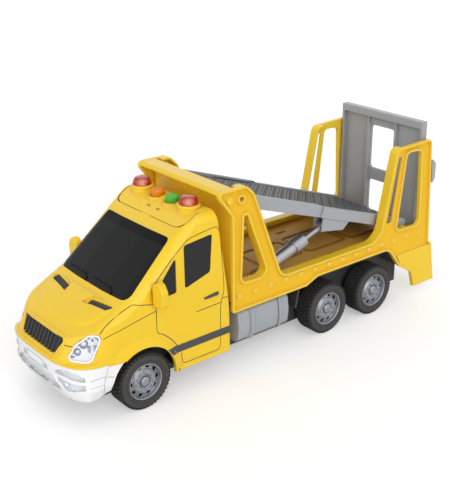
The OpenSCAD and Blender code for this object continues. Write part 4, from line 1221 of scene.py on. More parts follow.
@dataclass
class Cab:
    """The yellow cab with its panel seams, flares, glazing trim and mirrors."""

    side: float = 42.8
    axle: Flat = (112.6, 19.2)
    arch_radius: float = 23.4
    flare_out: float = 1.5
    flare_top: float = 32.4
    flare_low: float = 27.4
    flare_end: float = 184.0
    flare_spread: float = 120.0
    flare_power: float = 0.8
    flare_round: float = 1.6
    bumper_top: float = 38.6
    bumper_line: float = 42.3
    edge_rise: float = 1.3
    nose_rise: float = 2.6
    edge_reach: float = 6.5
    lamp_side: float = 29.0
    lamp_fade: float = 6.0
    seam_width: float = 0.5
    seam_depth: float = 0.6
    roof_gap: float = 0.9
    hood_back: float = 125.0
    hood_corner: float = 131.0
    hood_reach: float = 19.4
    hood_half: float = 34.8
    hood_power: float = 2.6
    hood_rise: float = 1.4
    hood_sink: float = 0.08
    hood_top: float = 72.0
    hood_slope: float = 0.5
    hood_slack: float = 4.5
    hood_front_fade: float = 0.13
    hood_back_fade: float = 3.0
    stripe_low: float = 30.5
    stripe_top: float = 35.7
    stripe_rear: float = 44.9
    slat_count: int = 7

    SEAMS = (
        ((141.1, 39.6, 60.4), (135.2, 39.4, 65.0), (127.6, 39.3, 68.9), (118.3, 40.4, 72.8)),
        ((118.3, 40.4, 72.8), (112.3, 42.4, 71.4), (103.1, 42.5, 69.1)),
        ((139.6, 40.8, 57.0), (133.3, 42.1, 59.0), (117.2, 42.8, 62.1), (102.7, 42.7, 64.5)),
        ((156.9, 24.8, 52.6), (156.1, 27.0, 52.7), (154.6, 29.9, 52.9)),
        ((102.4, 42.8, 52.0), (101.6, 42.8, 49.2), (97.5, 42.8, 46.7), (92.4, 42.8, 42.1), (88.1, 42.8, 36.6),
         (84.9, 42.8, 31.2)),
        ((51.2, 42.8, 54.7), (71.8, 42.8, 54.2)),
        ((45.2, 42.8, 57.0), (51.0, 42.8, 57.5)),
    )
    DOOR = ((102.3, 42.8, 52.0), (102.4, 42.7, 64.8), (102.8, 42.3, 72.5), (102.7, 42.1, 80.1), (101.0, 41.9, 83.3),
            (96.5, 41.7, 87.6), (89.2, 41.5, 94.2), (79.2, 41.2, 102.0), (75.6, 41.2, 104.0), (70.2, 41.1, 105.2),
            (54.8, 41.0, 106.9), (52.8, 41.1, 105.8), (51.3, 41.2, 102.4), (50.1, 41.8, 88.1), (49.2, 42.7, 64.2),
            (51.0, 42.8, 57.5), (52.2, 42.8, 48.8), (52.1, 42.8, 35.4), (52.0, 42.8, 30.0))
    PANEL = ((84.6, 30.6), (83.4, 21.2), (53.0, 21.2), (51.8, 30.6))
    RIDGE = ((127.0, 37.6, 69.8), (131.5, 37.0, 67.8), (137.6, 35.6, 65.2), (143.9, 33.0, 62.4), (149.9, 29.6, 59.4),
             (153.8, 27.4, 56.2))
    VENT = ((135.1, 8.5), (128.4, 12.9), (124.4, 34.9), (131.5, 31.3))
    VENT_ENDS = ((1.08, 78.0), (0.93, 64.0))
    ROOF = ((57.0, 0.0), (78.2, 0.0), (78.2, 36.2), (57.0, 36.2))
    SLAT_ENDS = ((133.0, 13.4), (129.4, 15.8), (130.6, 28.6))
    FENDER_EDGE = ((125.6, 42.8, 38.3), (131.9, 42.8, 39.4), (136.4, 42.8, 40.0), (145.6, 42.2, 40.4),
                   (150.4, 41.1, 40.7), (155.6, 38.0, 41.2), (159.2, 33.0, 41.6), (162.0, 26.0, 41.9),
                   (163.4, 18.0, 42.0), (164.0, 9.0, 42.0), (164.3, 0.0, 42.0))
    WIPER = ((119.3, 0.5, 77.7), (119.3, 7.3, 77.7), (119.5, 20.0, 77.2))
    WIPER_ARM = ((119.4, 19.0, 77.5), (121.0, 22.4, 75.9), (122.6, 23.6, 74.9))
    WIPER_STEP = 28.0
    HANDLE = (53.4, 66.0, 62.2, 2.5)
    SILL = (45.0, 60.0, 75.0, 88.6)
    GRILLE = ((-24.0, 57.2), (24.0, 57.2), (24.2, 50.0), (21.6, 44.9), (-21.6, 44.9), (-24.2, 50.0))

    def build(self) -> None:
        """Builds every piece of the cab."""
        self.skin = Skin("cab_shell", "grille", "hood_vents")
        self.bumper = Skin("front_bumper")
        self.shell()
        self.hood()
        self.flares()
        self.fender_edges()
        self.stripes()
        self.nose()
        self.handles()
        self.wipers()
        for name, _ in SIDES:
            soften(f"mirror_{name}", 0.7, Paint.YELLOW, Slot.YELLOW)
        soften("grille", 0.35, Paint.BLACK, Slot.BLACK)
        soften("hood_vents", 0.15, Paint.BLACK, Slot.BLACK)
        self.vent_slats()

    def shell(self) -> None:
        """Builds the shell with its seams cut in."""
        made = painted(bevelled(copy_node("cab_shell", "cab_body"), 0.25), Paint.YELLOW)
        cutters = []
        # The seams' faces are painted a darker yellow: painted shade.
        for path in (*self.SEAMS, self.DOOR):
            cutters += groove(self.skin, path, self.seam_width, self.seam_depth)
        low = [(x, self.side, z) for x, z in rounded(self.PANEL, 3.0)[3:-3]]
        cutters += groove(self.skin, low, self.seam_width, self.seam_depth, round_corners=False)
        roof = Skin("cab_shell", "roof_panel")
        edge = [roof.from_above(x, y)[0] for x, y in rounded(self.ROOF, 7.0, 8)[4:-4]]
        cutters += groove(roof, edge, self.roof_gap, self.seam_depth, round_corners=False)
        settle(smoothed(cut(made, cutters), 38.0), CHASSIS, Slot.YELLOW, "cab_shell")

    def hood_front(self, y: float) -> float:
        """Front edge of the raised hood panel.

        Args:
            y: Distance from the middle.

        Returns:
            The edge's X.
        """
        share = min(1.0, abs(y) / self.hood_half)
        return self.hood_corner + self.hood_reach * (1 - share ** self.hood_power) ** (1 / self.hood_power)

    def hood_height(self, x: float, y: float) -> float:
        """Rise of the hood panel above the shell.

        Args:
            x: Place along the truck.
            y: Place across the truck.

        Returns:
            The rise, a little below zero at the panel's edge.
        """
        ahead = max(0.0, x - self.hood_corner) / self.hood_reach
        power, beside = self.hood_power, abs(y) / self.hood_half
        inside = 1 - (ahead ** power + beside ** power) ** (1 / power)
        share = eased(inside / self.hood_front_fade) * eased((x - self.hood_back) / self.hood_back_fade)
        return (self.hood_rise + self.hood_sink) * share - self.hood_sink

    def hood_line(self, shell: Skin, line: Sequence[float], y: float) -> list[float]:
        """Heights of the shell along the hood, carried straight over the vents' openings.

        Args:
            shell: The shell's surface.
            line: Places along the truck.
            y: Place across the truck.

        Returns:
            The heights.
        """
        known = []
        for x in line:
            spot, normal = shell.from_above(x, y)
            expected = self.hood_top - self.hood_slope * (x - self.hood_back)
            if abs(spot.x - x) < 0.01 and normal.z > 0.3 and abs(spot.z - expected) < self.hood_slack:
                known.append((x, spot.z))
        out = []
        for x in line:
            before = max((p for p in known if p[0] <= x), default=known[0])
            after = min((p for p in known if p[0] >= x), default=known[-1])
            share = (x - before[0]) / (after[0] - before[0]) if after[0] > before[0] else 0.0
            out.append(before[1] + (after[1] - before[1]) * share)
        return out

    def hood(self) -> None:
        """Builds the raised hood panel with the frames of its two vents."""
        across, along = 72, 40
        top, low = [], []
        shell = Skin("cab_shell")
        for i in range(across + 1):
            y = self.hood_half * math.sin(math.pi / 2 * (2 * i / across - 1))
            line = [self.hood_back + (self.hood_front(y) - self.hood_back) * math.sin(math.pi / 2 * k / along)
                    for k in range(along + 1)]
            for x, z in zip(line, self.hood_line(shell, line, y)):
                top.append((x, y, z + self.hood_height(x, y)))
                low.append((x, y, z - 0.7))
        row, total = along + 1, len(top)
        faces = []
        for i in range(across):
            for k in range(along):
                a, b = i * row + k, (i + 1) * row + k
                faces += [(a, b, b + 1, a + 1), (total + a, total + a + 1, total + b + 1, total + b)]
        edge = [i * row for i in range(across + 1)] + [across * row + k for k in range(1, row)]
        edge += [i * row + along for i in reversed(range(across))] + list(range(along - 1, 0, -1))
        faces += [(a, b, total + b, total + a) for a, b in zip(edge, edge[1:] + edge[:1])]
        made = painted(recalculated(build_mesh("hood_panel", top + low, faces)), Paint.YELLOW)
        frames = []
        for _, way in SIDES:
            ring = [(x, way * y) for x, y in rounded(self.VENT, 1.2, 3)]
            mid = middle_of(ring)
            ends = [[(*(mid + (Vector(p) - mid) * share), z) for p in ring] for share, z in self.VENT_ENDS]
            frames.append(painted(loft("vent_frame", ends), Paint.YELLOW))
        settle(smoothed(cut(made, frames), 30.0), CHASSIS, Slot.YELLOW)

    def flare_edge(self, angle: float) -> float:
        """Outer radius of the wheel arch's flare.

        Args:
            angle: Angle round the axle from the front, in radians.

        Returns:
            The radius.
        """
        share = max(0.0, min(1.0, (math.pi - angle) / math.radians(self.flare_spread)))
        return self.flare_low + (self.flare_top - self.flare_low) * share ** self.flare_power

    def flare_rise(self, radius: float, angle: float) -> float:
        """How far the flare stands out of the cab's side.

        Args:
            radius: Distance from the axle.
            angle: Angle round the axle from the front, in radians.

        Returns:
            The rise.
        """
        share = (radius - self.arch_radius) / (self.flare_edge(angle) - self.arch_radius)
        return self.flare_out * math.cos(math.pi / 2 * min(1.0, max(0.0, share))) ** self.flare_round

    def flares(self) -> None:
        """Builds the swellings round the front wheel arches."""
        rings = []
        steps, across = 48, 9
        for i in range(steps + 1):
            ring = []
            for k in range(across + 1):
                t = k / across
                wide = self.arch_radius + t * (self.flare_top - self.arch_radius)
                start = math.asin((self.bumper_top - self.axle[1]) / wide)
                angle = start + (math.radians(self.flare_end) - start) * i / steps
                radius = self.arch_radius + t * (self.flare_edge(angle) - self.arch_radius)
                ring.append((self.axle[0] + radius * math.cos(angle),
                             self.side - 0.1 + self.flare_rise(radius, angle),
                             self.axle[1] + radius * math.sin(angle)))
            ring += [(ring[-1][0], self.side - 0.9, ring[-1][2]), (ring[0][0], self.side - 0.9, ring[0][2])]
            rings.append(ring)
        settle_both(bevelled(painted(loft("arch_flare_left", rings), Paint.YELLOW), 0.25), Slot.YELLOW)

    def fender_edges(self) -> None:
        """Builds the fenders' lower edges, which drop over the bumper and flow up into the nose."""
        shell = Skin("cab_shell")
        rings = []
        for x, y, low in smooth_line(self.FENDER_EDGE, 1.5):
            spot, normal = self.bumper.near((x, y, 40.0))
            out = Vector((normal.x, normal.y, 0.0)).normalized()
            share = eased((self.lamp_side - y) / self.lamp_fade)
            tall = self.edge_rise + (self.nose_rise - self.edge_rise) * share
            ring = [(*(spot + out * lift).xy, z) for lift, z in
                    ((-0.5, low), (0.2, low), (0.3, low + 0.3), (0.25, self.bumper_line - 0.1))]
            gap = 0.0
            for share in (0.2, 0.4, 0.6, 0.8, 1.0):
                height = self.bumper_line + tall * share
                hit, _ = shell.along(Vector((*spot.xy, height)) + out * 20, -out)
                new_gap = (spot - hit).dot(out)
                gap = new_gap if abs(new_gap) < self.edge_reach else gap
                ring.append((*(spot + out * ((gap + 0.25) * (1 - share) ** 2 - gap - 0.15 * share)).xy, height))
            ring += [(*(spot - out * (gap + 1.2)).xy, z) for z in (self.bumper_line + tall, low)]
            rings.append(ring)
        settle_both(smoothed(painted(loft("fender_edge_left", rings), Paint.YELLOW), 60.0), Slot.YELLOW)

    def side_height(self, x: float, z: float) -> float:
        """The cab side's Y with the flare on it.

        Args:
            x: Place along the truck.
            z: Height.

        Returns:
            The Y.
        """
        radius, angle = math.hypot(x - self.axle[0], z - self.axle[1]), math.atan2(z - self.axle[1], x - self.axle[0])
        return self.side + max(0.0, self.flare_rise(radius, angle) - 0.1)

    def stripes(self) -> None:
        """Builds the dark stripes along the sills and the sills' lower ledges."""
        rings = []
        steps = 40
        for i in range(steps + 1):
            ring = []
            for z, lift in ((self.stripe_low, -0.3), (self.stripe_low, 0.13), (self.stripe_top, 0.13),
                            (self.stripe_top, -0.3)):
                ahead = self.axle[0] - math.sqrt((self.arch_radius + 0.5) ** 2 - (z - self.axle[1]) ** 2)
                x = self.stripe_rear + (ahead - self.stripe_rear) * math.sin(math.pi / 2 * i / steps)
                ring.append((x, self.side_height(x, z) + lift, z))
            rings.append(ring)
        settle_both(painted(loft("sill_stripe_left", rings), Paint.STRIPE), Slot.DARK_GREY)
        section = [(self.side - 0.4, 17.6), (self.side + 0.6, 17.6), (self.side + 0.7, 18.0), (self.side + 0.7, 19.2),
                   (self.side, 19.9), (self.side - 0.4, 19.9)]
        ledge = loft("sill_left", [[(x, y, z) for y, z in section] for x in self.SILL])
        settle_both(bevelled(painted(ledge, Paint.YELLOW), 0.2), Slot.YELLOW)

    def nose(self) -> None:
        """Builds the lip round the grille and the two ridges of the hood."""
        loop = resampled([(y, z, 0.0) for y, z in rounded(self.GRILLE, 3.5)], 1.5, True)
        spots = [self.skin.from_ahead(p.x, p.y) for p in loop]
        shapes = [sweep("lip", spots, round_section(0.85, 0.75), True)]
        spots = [self.skin.near(p) for p in smooth_line(self.RIDGE, 1.5)]
        section = ((-2.0, -0.5), (-2.0, -0.2), (-1.0, 0.1), (0.0, 0.34), (1.0, 0.1), (2.0, -0.2), (2.0, -0.5))
        last = len(spots) - 1
        sunk = [(p - n * max(0.0, 0.6 - 0.2 * min(i, last - i)), n) for i, (p, n) in enumerate(spots)]
        ridge = sweep("ridge", sunk, section)
        shapes += [ridge, mirrored(ridge, "ridge")]
        for shape in shapes:
            painted(shape, Paint.YELLOW)
        settle(smoothed(joined("nose_lines", shapes), 60.0), CHASSIS, Slot.YELLOW)

    def handles(self) -> None:
        """Builds the door handles."""
        rear, ahead, height, tall = self.HANDLE
        outline = rounded(((rear, height - tall / 2), (ahead - 1.0, height - tall / 2 - 0.2), (ahead, height),
                           (rear + 0.6, height + tall / 2)), 1.2)
        mid = middle_of(outline)
        rings = [[(*(mid + (Vector(p) - mid) * share), out) for p in outline]
                 for share, out in ((1.0, -0.4), (1.0, 0.35), (0.93, 0.6), (0.75, 0.72))]
        left = loft("door_handle_left", [[(x, self.side + out, z) for x, z, out in ring] for ring in rings])
        settle_both(smoothed(painted(left, Paint.STRIPE), 50.0), Slot.DARK_GREY)

    def vent_slats(self) -> None:
        """Builds the rows of slats in the hood's vents."""
        vents = Skin("hood_vents")
        shapes = []
        for _, way in SIDES:
            front, back, last = (Vector((x, way * y, vents.from_above(x, way * y)[0].z)) for x, y in self.SLAT_ENDS)
            ahead = (front - back).normalized()
            side = Vector((-ahead.y, ahead.x, 0.0)).normalized()
            up = ahead.cross(side)
            up = up if up.z > 0 else -up
            bar = loft("bar", [[end + side * a + up * b - front for a, b in
                                ((-0.75, -0.3), (0.75, -0.3), (0.45, 0.45), (-0.45, 0.45))] for end in (back, front)])
            step = (last - front) / (self.slat_count - 1) * MM
            shapes.append(repeated("slats", GRID, bar, Paint.GUARD, self.slat_count, Start=front * MM, Step=step))
        settle(joined("vent_slats", shapes), CHASSIS, Slot.BLACK)

    def wipers(self) -> None:
        """Builds the two windscreen wipers."""
        glass = Skin("windscreen", "cab_shell")
        shapes = []
        for step in (0.0, -self.WIPER_STEP):
            for path, half in ((self.WIPER, 0.45), (self.WIPER_ARM, 0.6)):
                spots = [glass.near((x, y + step, z)) for x, y, z in smooth_line(path, 2.0)]
                section = ((-half, -0.1), (half, -0.1), (half, 0.45), (half * 0.4, 0.75), (-half * 0.4, 0.75),
                           (-half, 0.45))
                shapes.append(painted(sweep("wiper", spots, section), Paint.WIPER))
        settle(smoothed(joined("wipers", shapes), 40.0), CHASSIS, Slot.BLACK)


@dataclass
class Bumper:
    """The white front bumper with its intakes, plate and lip."""

    plate_half: float = 9.6
    plate_low: float = 33.7
    plate_top: float = 38.9
    lip_z: float = 23.8
    notch_low: float = 16.0
    notch_depth: float = 0.7
    line_width: float = 0.45
    line_depth: float = 0.4

    DAM = ((0.0, 25.0, 32.7), (10.0, 25.0, 32.7), (17.0, 25.0, 32.7), (20.0, 25.0, 32.4), (23.0, 25.1, 29.8),
           (25.0, 25.2, 28.0), (27.0, 25.3, 26.3))
    FOG_TOP = ((22.4, 35.6, 36.9), (26.1, 35.1, 38.9), (31.0, 34.6, 39.3), (34.2, 33.6, 38.6), (37.4, 33.0, 37.5),
               (40.0, 32.2, 35.4))
    FOG_LOW = ((24.6, 31.3, 33.6), (27.0, 28.8, 33.3), (29.5, 26.2, 32.8), (33.0, 25.7, 31.8), (37.0, 26.0, 31.0),
               (40.0, 26.4, 30.2))
    FOG_LAMP = (30.2, 29.3)
    SLOT = ((10.7, 33.9, 37.8), (14.6, 33.9, 37.8))
    NOTCHES = (5.0, 14.0, 23.0)
    LINES = (
        ((150.3, 41.3, 32.3), (146.2, 42.2, 33.0), (140.9, 42.7, 32.8), (135.0, 42.8, 30.7)),
        ((150.6, 41.2, 27.6), (146.0, 42.0, 27.7), (142.0, 42.4, 27.7)),
        ((137.3, 42.7, 41.4), (139.4, 42.7, 35.4), (141.7, 42.7, 28.0), (141.2, 40.6, 20.4)),
    )
    STRUT = ((163.7, 18.2, 38.6), (163.4, 21.0, 33.6), (163.0, 23.6, 30.4), (161.9, 28.0, 26.9), (160.6, 30.0, 24.6),
             (157.8, 34.4, 24.2), (152.8, 39.9, 24.6))
    SLAT = ((163.0, 23.4, 34.6), (162.5, 26.1, 34.2), (160.9, 31.0, 33.6), (159.3, 34.2, 32.6), (156.7, 37.4, 32.0),
            (152.8, 40.3, 31.2))

    def build(self) -> None:
        """Builds the bumper as one moulding with a raised plate and trims."""
        self.skin = Skin("front_bumper")
        made = painted(bevelled(copy_node("front_bumper", "bumper_face"), 0.4), Paint.WHITE)
        # Cut faces are painted a greyer white: painted shade in the recesses, notches and seams.
        cutters = [self.ribbon(self.mirror_spans(self.DAM), 2.2)]
        for _, way in SIDES:
            for spans, depth in ((self.FOG_TOP, 1.7), (self.FOG_LOW, 2.0), (self.SLOT, 0.9)):
                cutters.append(self.ribbon([(way * y, low, top) for y, low, top in spans][::way], depth))
            for y in self.NOTCHES:
                notch = [(way * y + half, self.notch_low, self.lip_z) for half in (-0.5, 0.5)]
                cutters.append(self.ribbon(notch, self.notch_depth))
        for line in self.LINES:
            cutters += groove(self.skin, line, self.line_width, self.line_depth, Paint.RECESS)
        plate = box_outline((-self.plate_half, self.plate_low), (self.plate_half, self.plate_top), 0.8, 3)
        loop = resampled([(y, z, 0.0) for y, z in plate], 2.0, True)
        spots = [self.skin.from_ahead(p.x, p.y) for p in loop]
        section = ((-0.3, -0.5), (0.3, -0.5), (0.3, 0.6), (-0.3, 0.6))
        cutters.append(painted(sweep("plate_seam", spots, section, True), Paint.RECESS))
        settle(smoothed(cut(made, cutters), 36.0), CHASSIS, Slot.WHITE, "front_bumper")
        self.trims()

    @staticmethod
    def mirror_spans(spans: Sequence[Point]) -> list[Point]:
        """Spans of one side, carried on over the middle to the other side."""
        return [(-y, low, top) for y, low, top in reversed(spans) if y] + list(spans)

    def ribbon(self, spans: Sequence[Point], depth: float) -> Piece:
        """Makes a cutter that follows the bumper's face; the faces it leaves get a greyer white of painted shade.

        Args:
            spans: Place across the truck, lower and upper edge, from right to left.
            depth: How deep the cut is.

        Returns:
            The cutter.
        """
        rings = []
        fine = smooth_line(spans, 2.0) if len(spans) > 2 else [Vector(s) for s in spans]
        for y, low, top in fine:
            spots = [self.skin.from_ahead(y, z) for z in (low, top)]
            flat = Vector((spots[1][1].x, spots[1][1].y, 0.0)).normalized()
            out = [Vector((spot.x, y, z)) + flat * 1.5 for (spot, _), z in zip(spots, (low, top))]
            back = [Vector((spot.x, y, z)) - flat * depth for (spot, _), z in zip(spots, (low + 0.25, top - 0.25))]
            rings.append([out[0], out[1], back[1], back[0]])
        return painted(loft("intake", rings), Paint.RECESS)

    def trims(self) -> None:
        """Builds the struts beside the dam, the slats of the side intakes and the fog lamps."""
        shapes = []
        for path, section in ((self.STRUT, ((-0.7, -0.8), (0.7, -0.8), (0.55, 0.2), (0.0, 0.42), (-0.55, 0.2))),
                              (self.SLAT, ((-0.9, -1.6), (0.9, -1.6), (0.7, -0.35), (0.0, -0.1), (-0.7, -0.35)))):
            spots = [self.skin.near(p) for p in smooth_line(path, 1.4)]
            left = painted(sweep("trim", spots, section), Paint.WHITE)
            shapes += [left, mirrored(left, "trim")]
        for _, way in SIDES:
            spot, normal = self.skin.from_ahead(way * self.FOG_LAMP[0], self.FOG_LAMP[1])
            turn = normal.to_track_quat("Y", "Z").to_matrix()
            lamp = lathe("fog_lamp", ((0.0, -2.4), (1.5, -2.4), (1.5, -1.3), (1.3, -1.1), (1.05, -1.25), (0.6, -1.45),
                                      (0.0, -1.5)), 24)
            shapes.append(moved(painted(lamp, Paint.WHITE), spot, turn))
        settle(smoothed(joined("bumper_trims", shapes), 48.0), CHASSIS, Slot.WHITE)


@dataclass
class Lamps:
    """The headlamps' reflectors with their bowls and bulbs, painted white as a painted reflection of the chrome, with
    blue-grey and dark patches of painted shade.
    """

    turn: float = 50.0
    bowls: tuple = ((150.1, 35.0, 54.4, 2.7), (153.4, 33.3, 49.7, 2.1))
    fins: tuple = ((147.9, 37.6), (144.8, 39.3))
    fin_span: Flat = (46.4, 53.8)
    fin_half: float = 1.0
    fin_count: int = 2
    shade_patches: tuple = ((143.6, 38.8, 55.6, 59.6, 2.0, Paint.LAMP_BLUE), (145.4, 37.9, 55.2, 57.4, 0.7, Paint.LAMP_DARK),
                    (147.6, 36.6, 57.4, 58.2, 1.3, Paint.LAMP_DARK), (154.6, 31.6, 46.5, 47.2, 2.3, Paint.LAMP_DARK),
                    (156.4, 30.3, 46.5, 49.2, 0.35, Paint.LAMP_DARK))
    rim_inset: float = 0.7
    rim_radius: float = 0.62

    def build(self) -> None:
        """Builds both reflectors."""
        for name, way in SIDES:
            node = f"lamp_reflector_{name}"
            skin = Skin(node)
            out = Vector((math.cos(math.radians(self.turn)), way * math.sin(math.radians(self.turn)), 0.0))
            turn = out.to_track_quat("Y", "Z").to_matrix()
            # The chrome reflector is painted white, a painted reflection; the bowls, rings, bars and patches in
            # blue-grey and dark grey are painted shade.
            made = painted(copy_node(node, f"{node}_bowls"), Paint.LAMP_WHITE)
            cutters, shapes = [], []
            for x, y, z, radius in self.bowls:
                spot, _ = skin.along(Vector((x, way * y, z)) + out * 12, -out)
                bowl = lathe("bowl", ((0.0, -1.3), (radius * 0.35, -1.25), (radius * 0.8, -0.8), (radius, 0.0),
                                      (radius, 1.0), (0.0, 1.0)), 28)
                cutters.append(moved(painted(bowl, Paint.LAMP_BLUE), spot, turn))
                ring = lathe("ring", ((radius * 0.9, -0.7), (radius * 1.08, -0.7), (radius * 1.08, 0.05),
                                      (radius * 1.0, 0.14), (radius * 0.9, 0.05)), 28)
                bulb = lathe("bulb", ((0.0, -1.25), (radius * 0.6, -1.25), (radius * 0.55, -0.6),
                                      (radius * 0.3, -0.3), (0.0, -0.2)), 18)
                shapes += [moved(painted(ring, Paint.LAMP_DARK), spot, turn),
                           moved(painted(bulb, Paint.LAMP_WHITE), spot, turn)]
            cut(made, cutters)
            start, end = (Vector((x, way * y, 0.0)) for x, y in self.fins)
            for i in range(self.fin_count):
                place = start.lerp(end, i / (self.fin_count - 1))
                shapes.append(self.fin(skin, place, out, self.fin_half, self.fin_span, Paint.LAMP_BLUE))
            for x, y, low, top, half, paint in self.shade_patches:
                shapes.append(self.fin(skin, Vector((x, way * y, 0.0)), out, half, (low, top), paint))
            whole = joined(f"{node}_bowls", [made, *shapes])
            settle(smoothed(whole, 35.0), CHASSIS, Slot.CHROME, node)
            self.rim(name, out)

    def rim(self, name: str, out: Vector) -> None:
        """Builds the white border round a lamp's clear cover.

        Args:
            name: The side's name.
            out: Direction that the lamp faces.
        """
        side = Vector((-out.y, out.x, 0.0))
        corners = [v.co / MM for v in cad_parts[f"lamp_lens_{name}"].data.vertices]
        flat = sorted({(round(p.dot(side), 2), round(p.z, 2)) for p in corners})
        loop = []
        for row in (flat, flat[::-1]):
            edge = []
            for p in row:
                while len(edge) > 1 and ((edge[-1][0] - edge[-2][0]) * (p[1] - edge[-2][1])
                                         <= (edge[-1][1] - edge[-2][1]) * (p[0] - edge[-2][0])):
                    edge.pop()
                edge.append(p)
            loop += edge[:-1]
        middle = middle_of(loop)
        skin = Skin(f"lamp_lens_{name}")
        far = max(p.dot(out) for p in corners) + 5.0
        spots = []
        for p in resampled([(a, b, 0.0) for a, b in loop], 1.2, True):
            inward = (middle - p.xy).normalized() * self.rim_inset
            spots.append(skin.along(side * (p.x + inward.x) + Vector((0, 0, p.y + inward.y)) + out * far, -out))
        made = sweep(f"lamp_rim_{name}", spots, round_section(self.rim_radius, 0.6), True)
        settle(smoothed(painted(made, Paint.LAMP_WHITE), 60.0), CHASSIS, Slot.WHITE)

    @staticmethod
    def fin(skin: Skin, place: Vector, out: Vector, half: float, span: Flat, paint: Paint) -> Piece:
        """Makes an upright bar on the reflector.

        Args:
            skin: The reflector's surface.
            place: Where it stands in plan.
            out: Direction that the lamp faces.
            half: Half of its width.
            span: Its lower and upper end.
            paint: Its finish.

        Returns:
            The bar.
        """
        middle = sum(span) / 2
        spot, _ = skin.along(Vector((place.x, place.y, middle)) + out * 12, -out)
        side = Vector((-out.y, out.x, 0.0)) * half
        rings = [[spot + side * a + out * b + Vector((0, 0, z - middle))
                  for a, b in ((-1, -0.6), (1, -0.6), (0.7, 0.12), (-0.7, 0.12))] for z in span]
        return painted(loft("fin", rings), paint)


@dataclass
class Roof:
    """The two beacons and the two buttons on the roof."""

    beacon: Flat = (63.0, 25.4)
    roof_top: float = 119.2
    beacon_radius: float = 6.5
    button_radius: float = 4.7
    button_foot_gap: float = 1.7
    button_y: float = 8.2
    flutes: int = 20
    flute_wave: float = 0.022
    star_points: int = 8
    star_reach: Flat = (4.3, 1.1)

    STAR = ((1.6, 1.0), (2.6, 0.95), (4.5, 0.3))
    DOME = ((0.0, 6.25), (3.4, 6.15), (4.5, 5.75), (5.2, 4.9), (5.8, 3.2), (6.2, 1.4), (6.3, 0.2), (5.3, 0.2),
            (5.1, 1.4), (4.8, 3.0), (4.3, 4.6), (3.4, 5.3), (0.0, 5.45))
    TURN_UP = Matrix.Rotation(math.pi / 2, 3, "X")

    def build(self) -> None:
        """Builds every piece of the roof."""
        for name, way in SIDES:
            self.lamp(name, way)
        for node, paint, slot, way in (("green_button", Paint.GREEN, Slot.GREEN, 1),
                                       ("orange_button", Paint.ORANGE, Slot.ORANGE, -1)):
            self.button(node, paint, slot, way)

    def button(self, node: str, paint: Paint, slot: Slot, way: int) -> None:
        """Builds one push button with a rounded cap.

        Args:
            node: The CAD node, which is also its body.
            paint: Its finish.
            slot: The record's slot for the finish.
            way: 1 for the left side and -1 for the right.
        """
        low, top = (corner.z / MM - self.roof_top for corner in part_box(node))
        low += self.button_foot_gap
        wide = self.button_radius
        profile = ((0.0, low), (wide, low), (wide, top - 1.5), (wide - 0.2, top - 0.8), (wide - 0.7, top - 0.25),
                   (wide - 1.5, top - 0.05), (wide - 2.4, top - 0.1), (0.0, top - 0.35))
        made = painted(lathe(f"{node}_cap", profile, 48), paint)
        moved(made, (self.beacon[0], way * self.button_y, self.roof_top), self.TURN_UP)
        settle(smoothed(made, 50.0), node, slot, node)

    def lamp(self, name: str, way: int) -> None:
        """Builds one beacon: its seat ring, its fluted red dome and the star inside, which glows as a painted glint.

        Args:
            name: The side's name.
            way: 1 for the left side and -1 for the right.
        """
        place = (self.beacon[0], way * self.beacon[1], self.roof_top)
        wide = self.beacon_radius
        ring = lathe(f"beacon_ring_{name}", ((wide - 0.9, -0.3), (wide + 1.1, -0.3), (wide + 1.1, 0.5),
                                             (wide + 0.8, 0.95), (wide + 0.2, 1.1), (wide - 0.9, 1.1)), 56)
        settle(smoothed(painted(moved(ring, place, self.TURN_UP), Paint.YELLOW), 40.0), CHASSIS, Slot.YELLOW)
        dome = moved(lathe(f"beacon_dome_{name}", self.DOME, 80, self.flutes, self.flute_wave), place, self.TURN_UP)
        settle(smoothed(painted(dome, Paint.RED_LENS), 50.0), CHASSIS, Slot.RED, f"beacon_{name}")
        count = self.star_points * 2
        corners = [(self.star_reach[i % 2], 2 * math.pi * i / count) for i in range(count)]
        rings = [[(place[0] + share * reach * math.cos(angle), place[1] + share * reach * math.sin(angle),
                   place[2] + height) for reach, angle in corners] for height, share in self.STAR]
        # The star glows as a painted glint.
        settle(painted(loft(f"beacon_star_{name}", rings), Paint.GLINT), CHASSIS, Slot.CHROME)


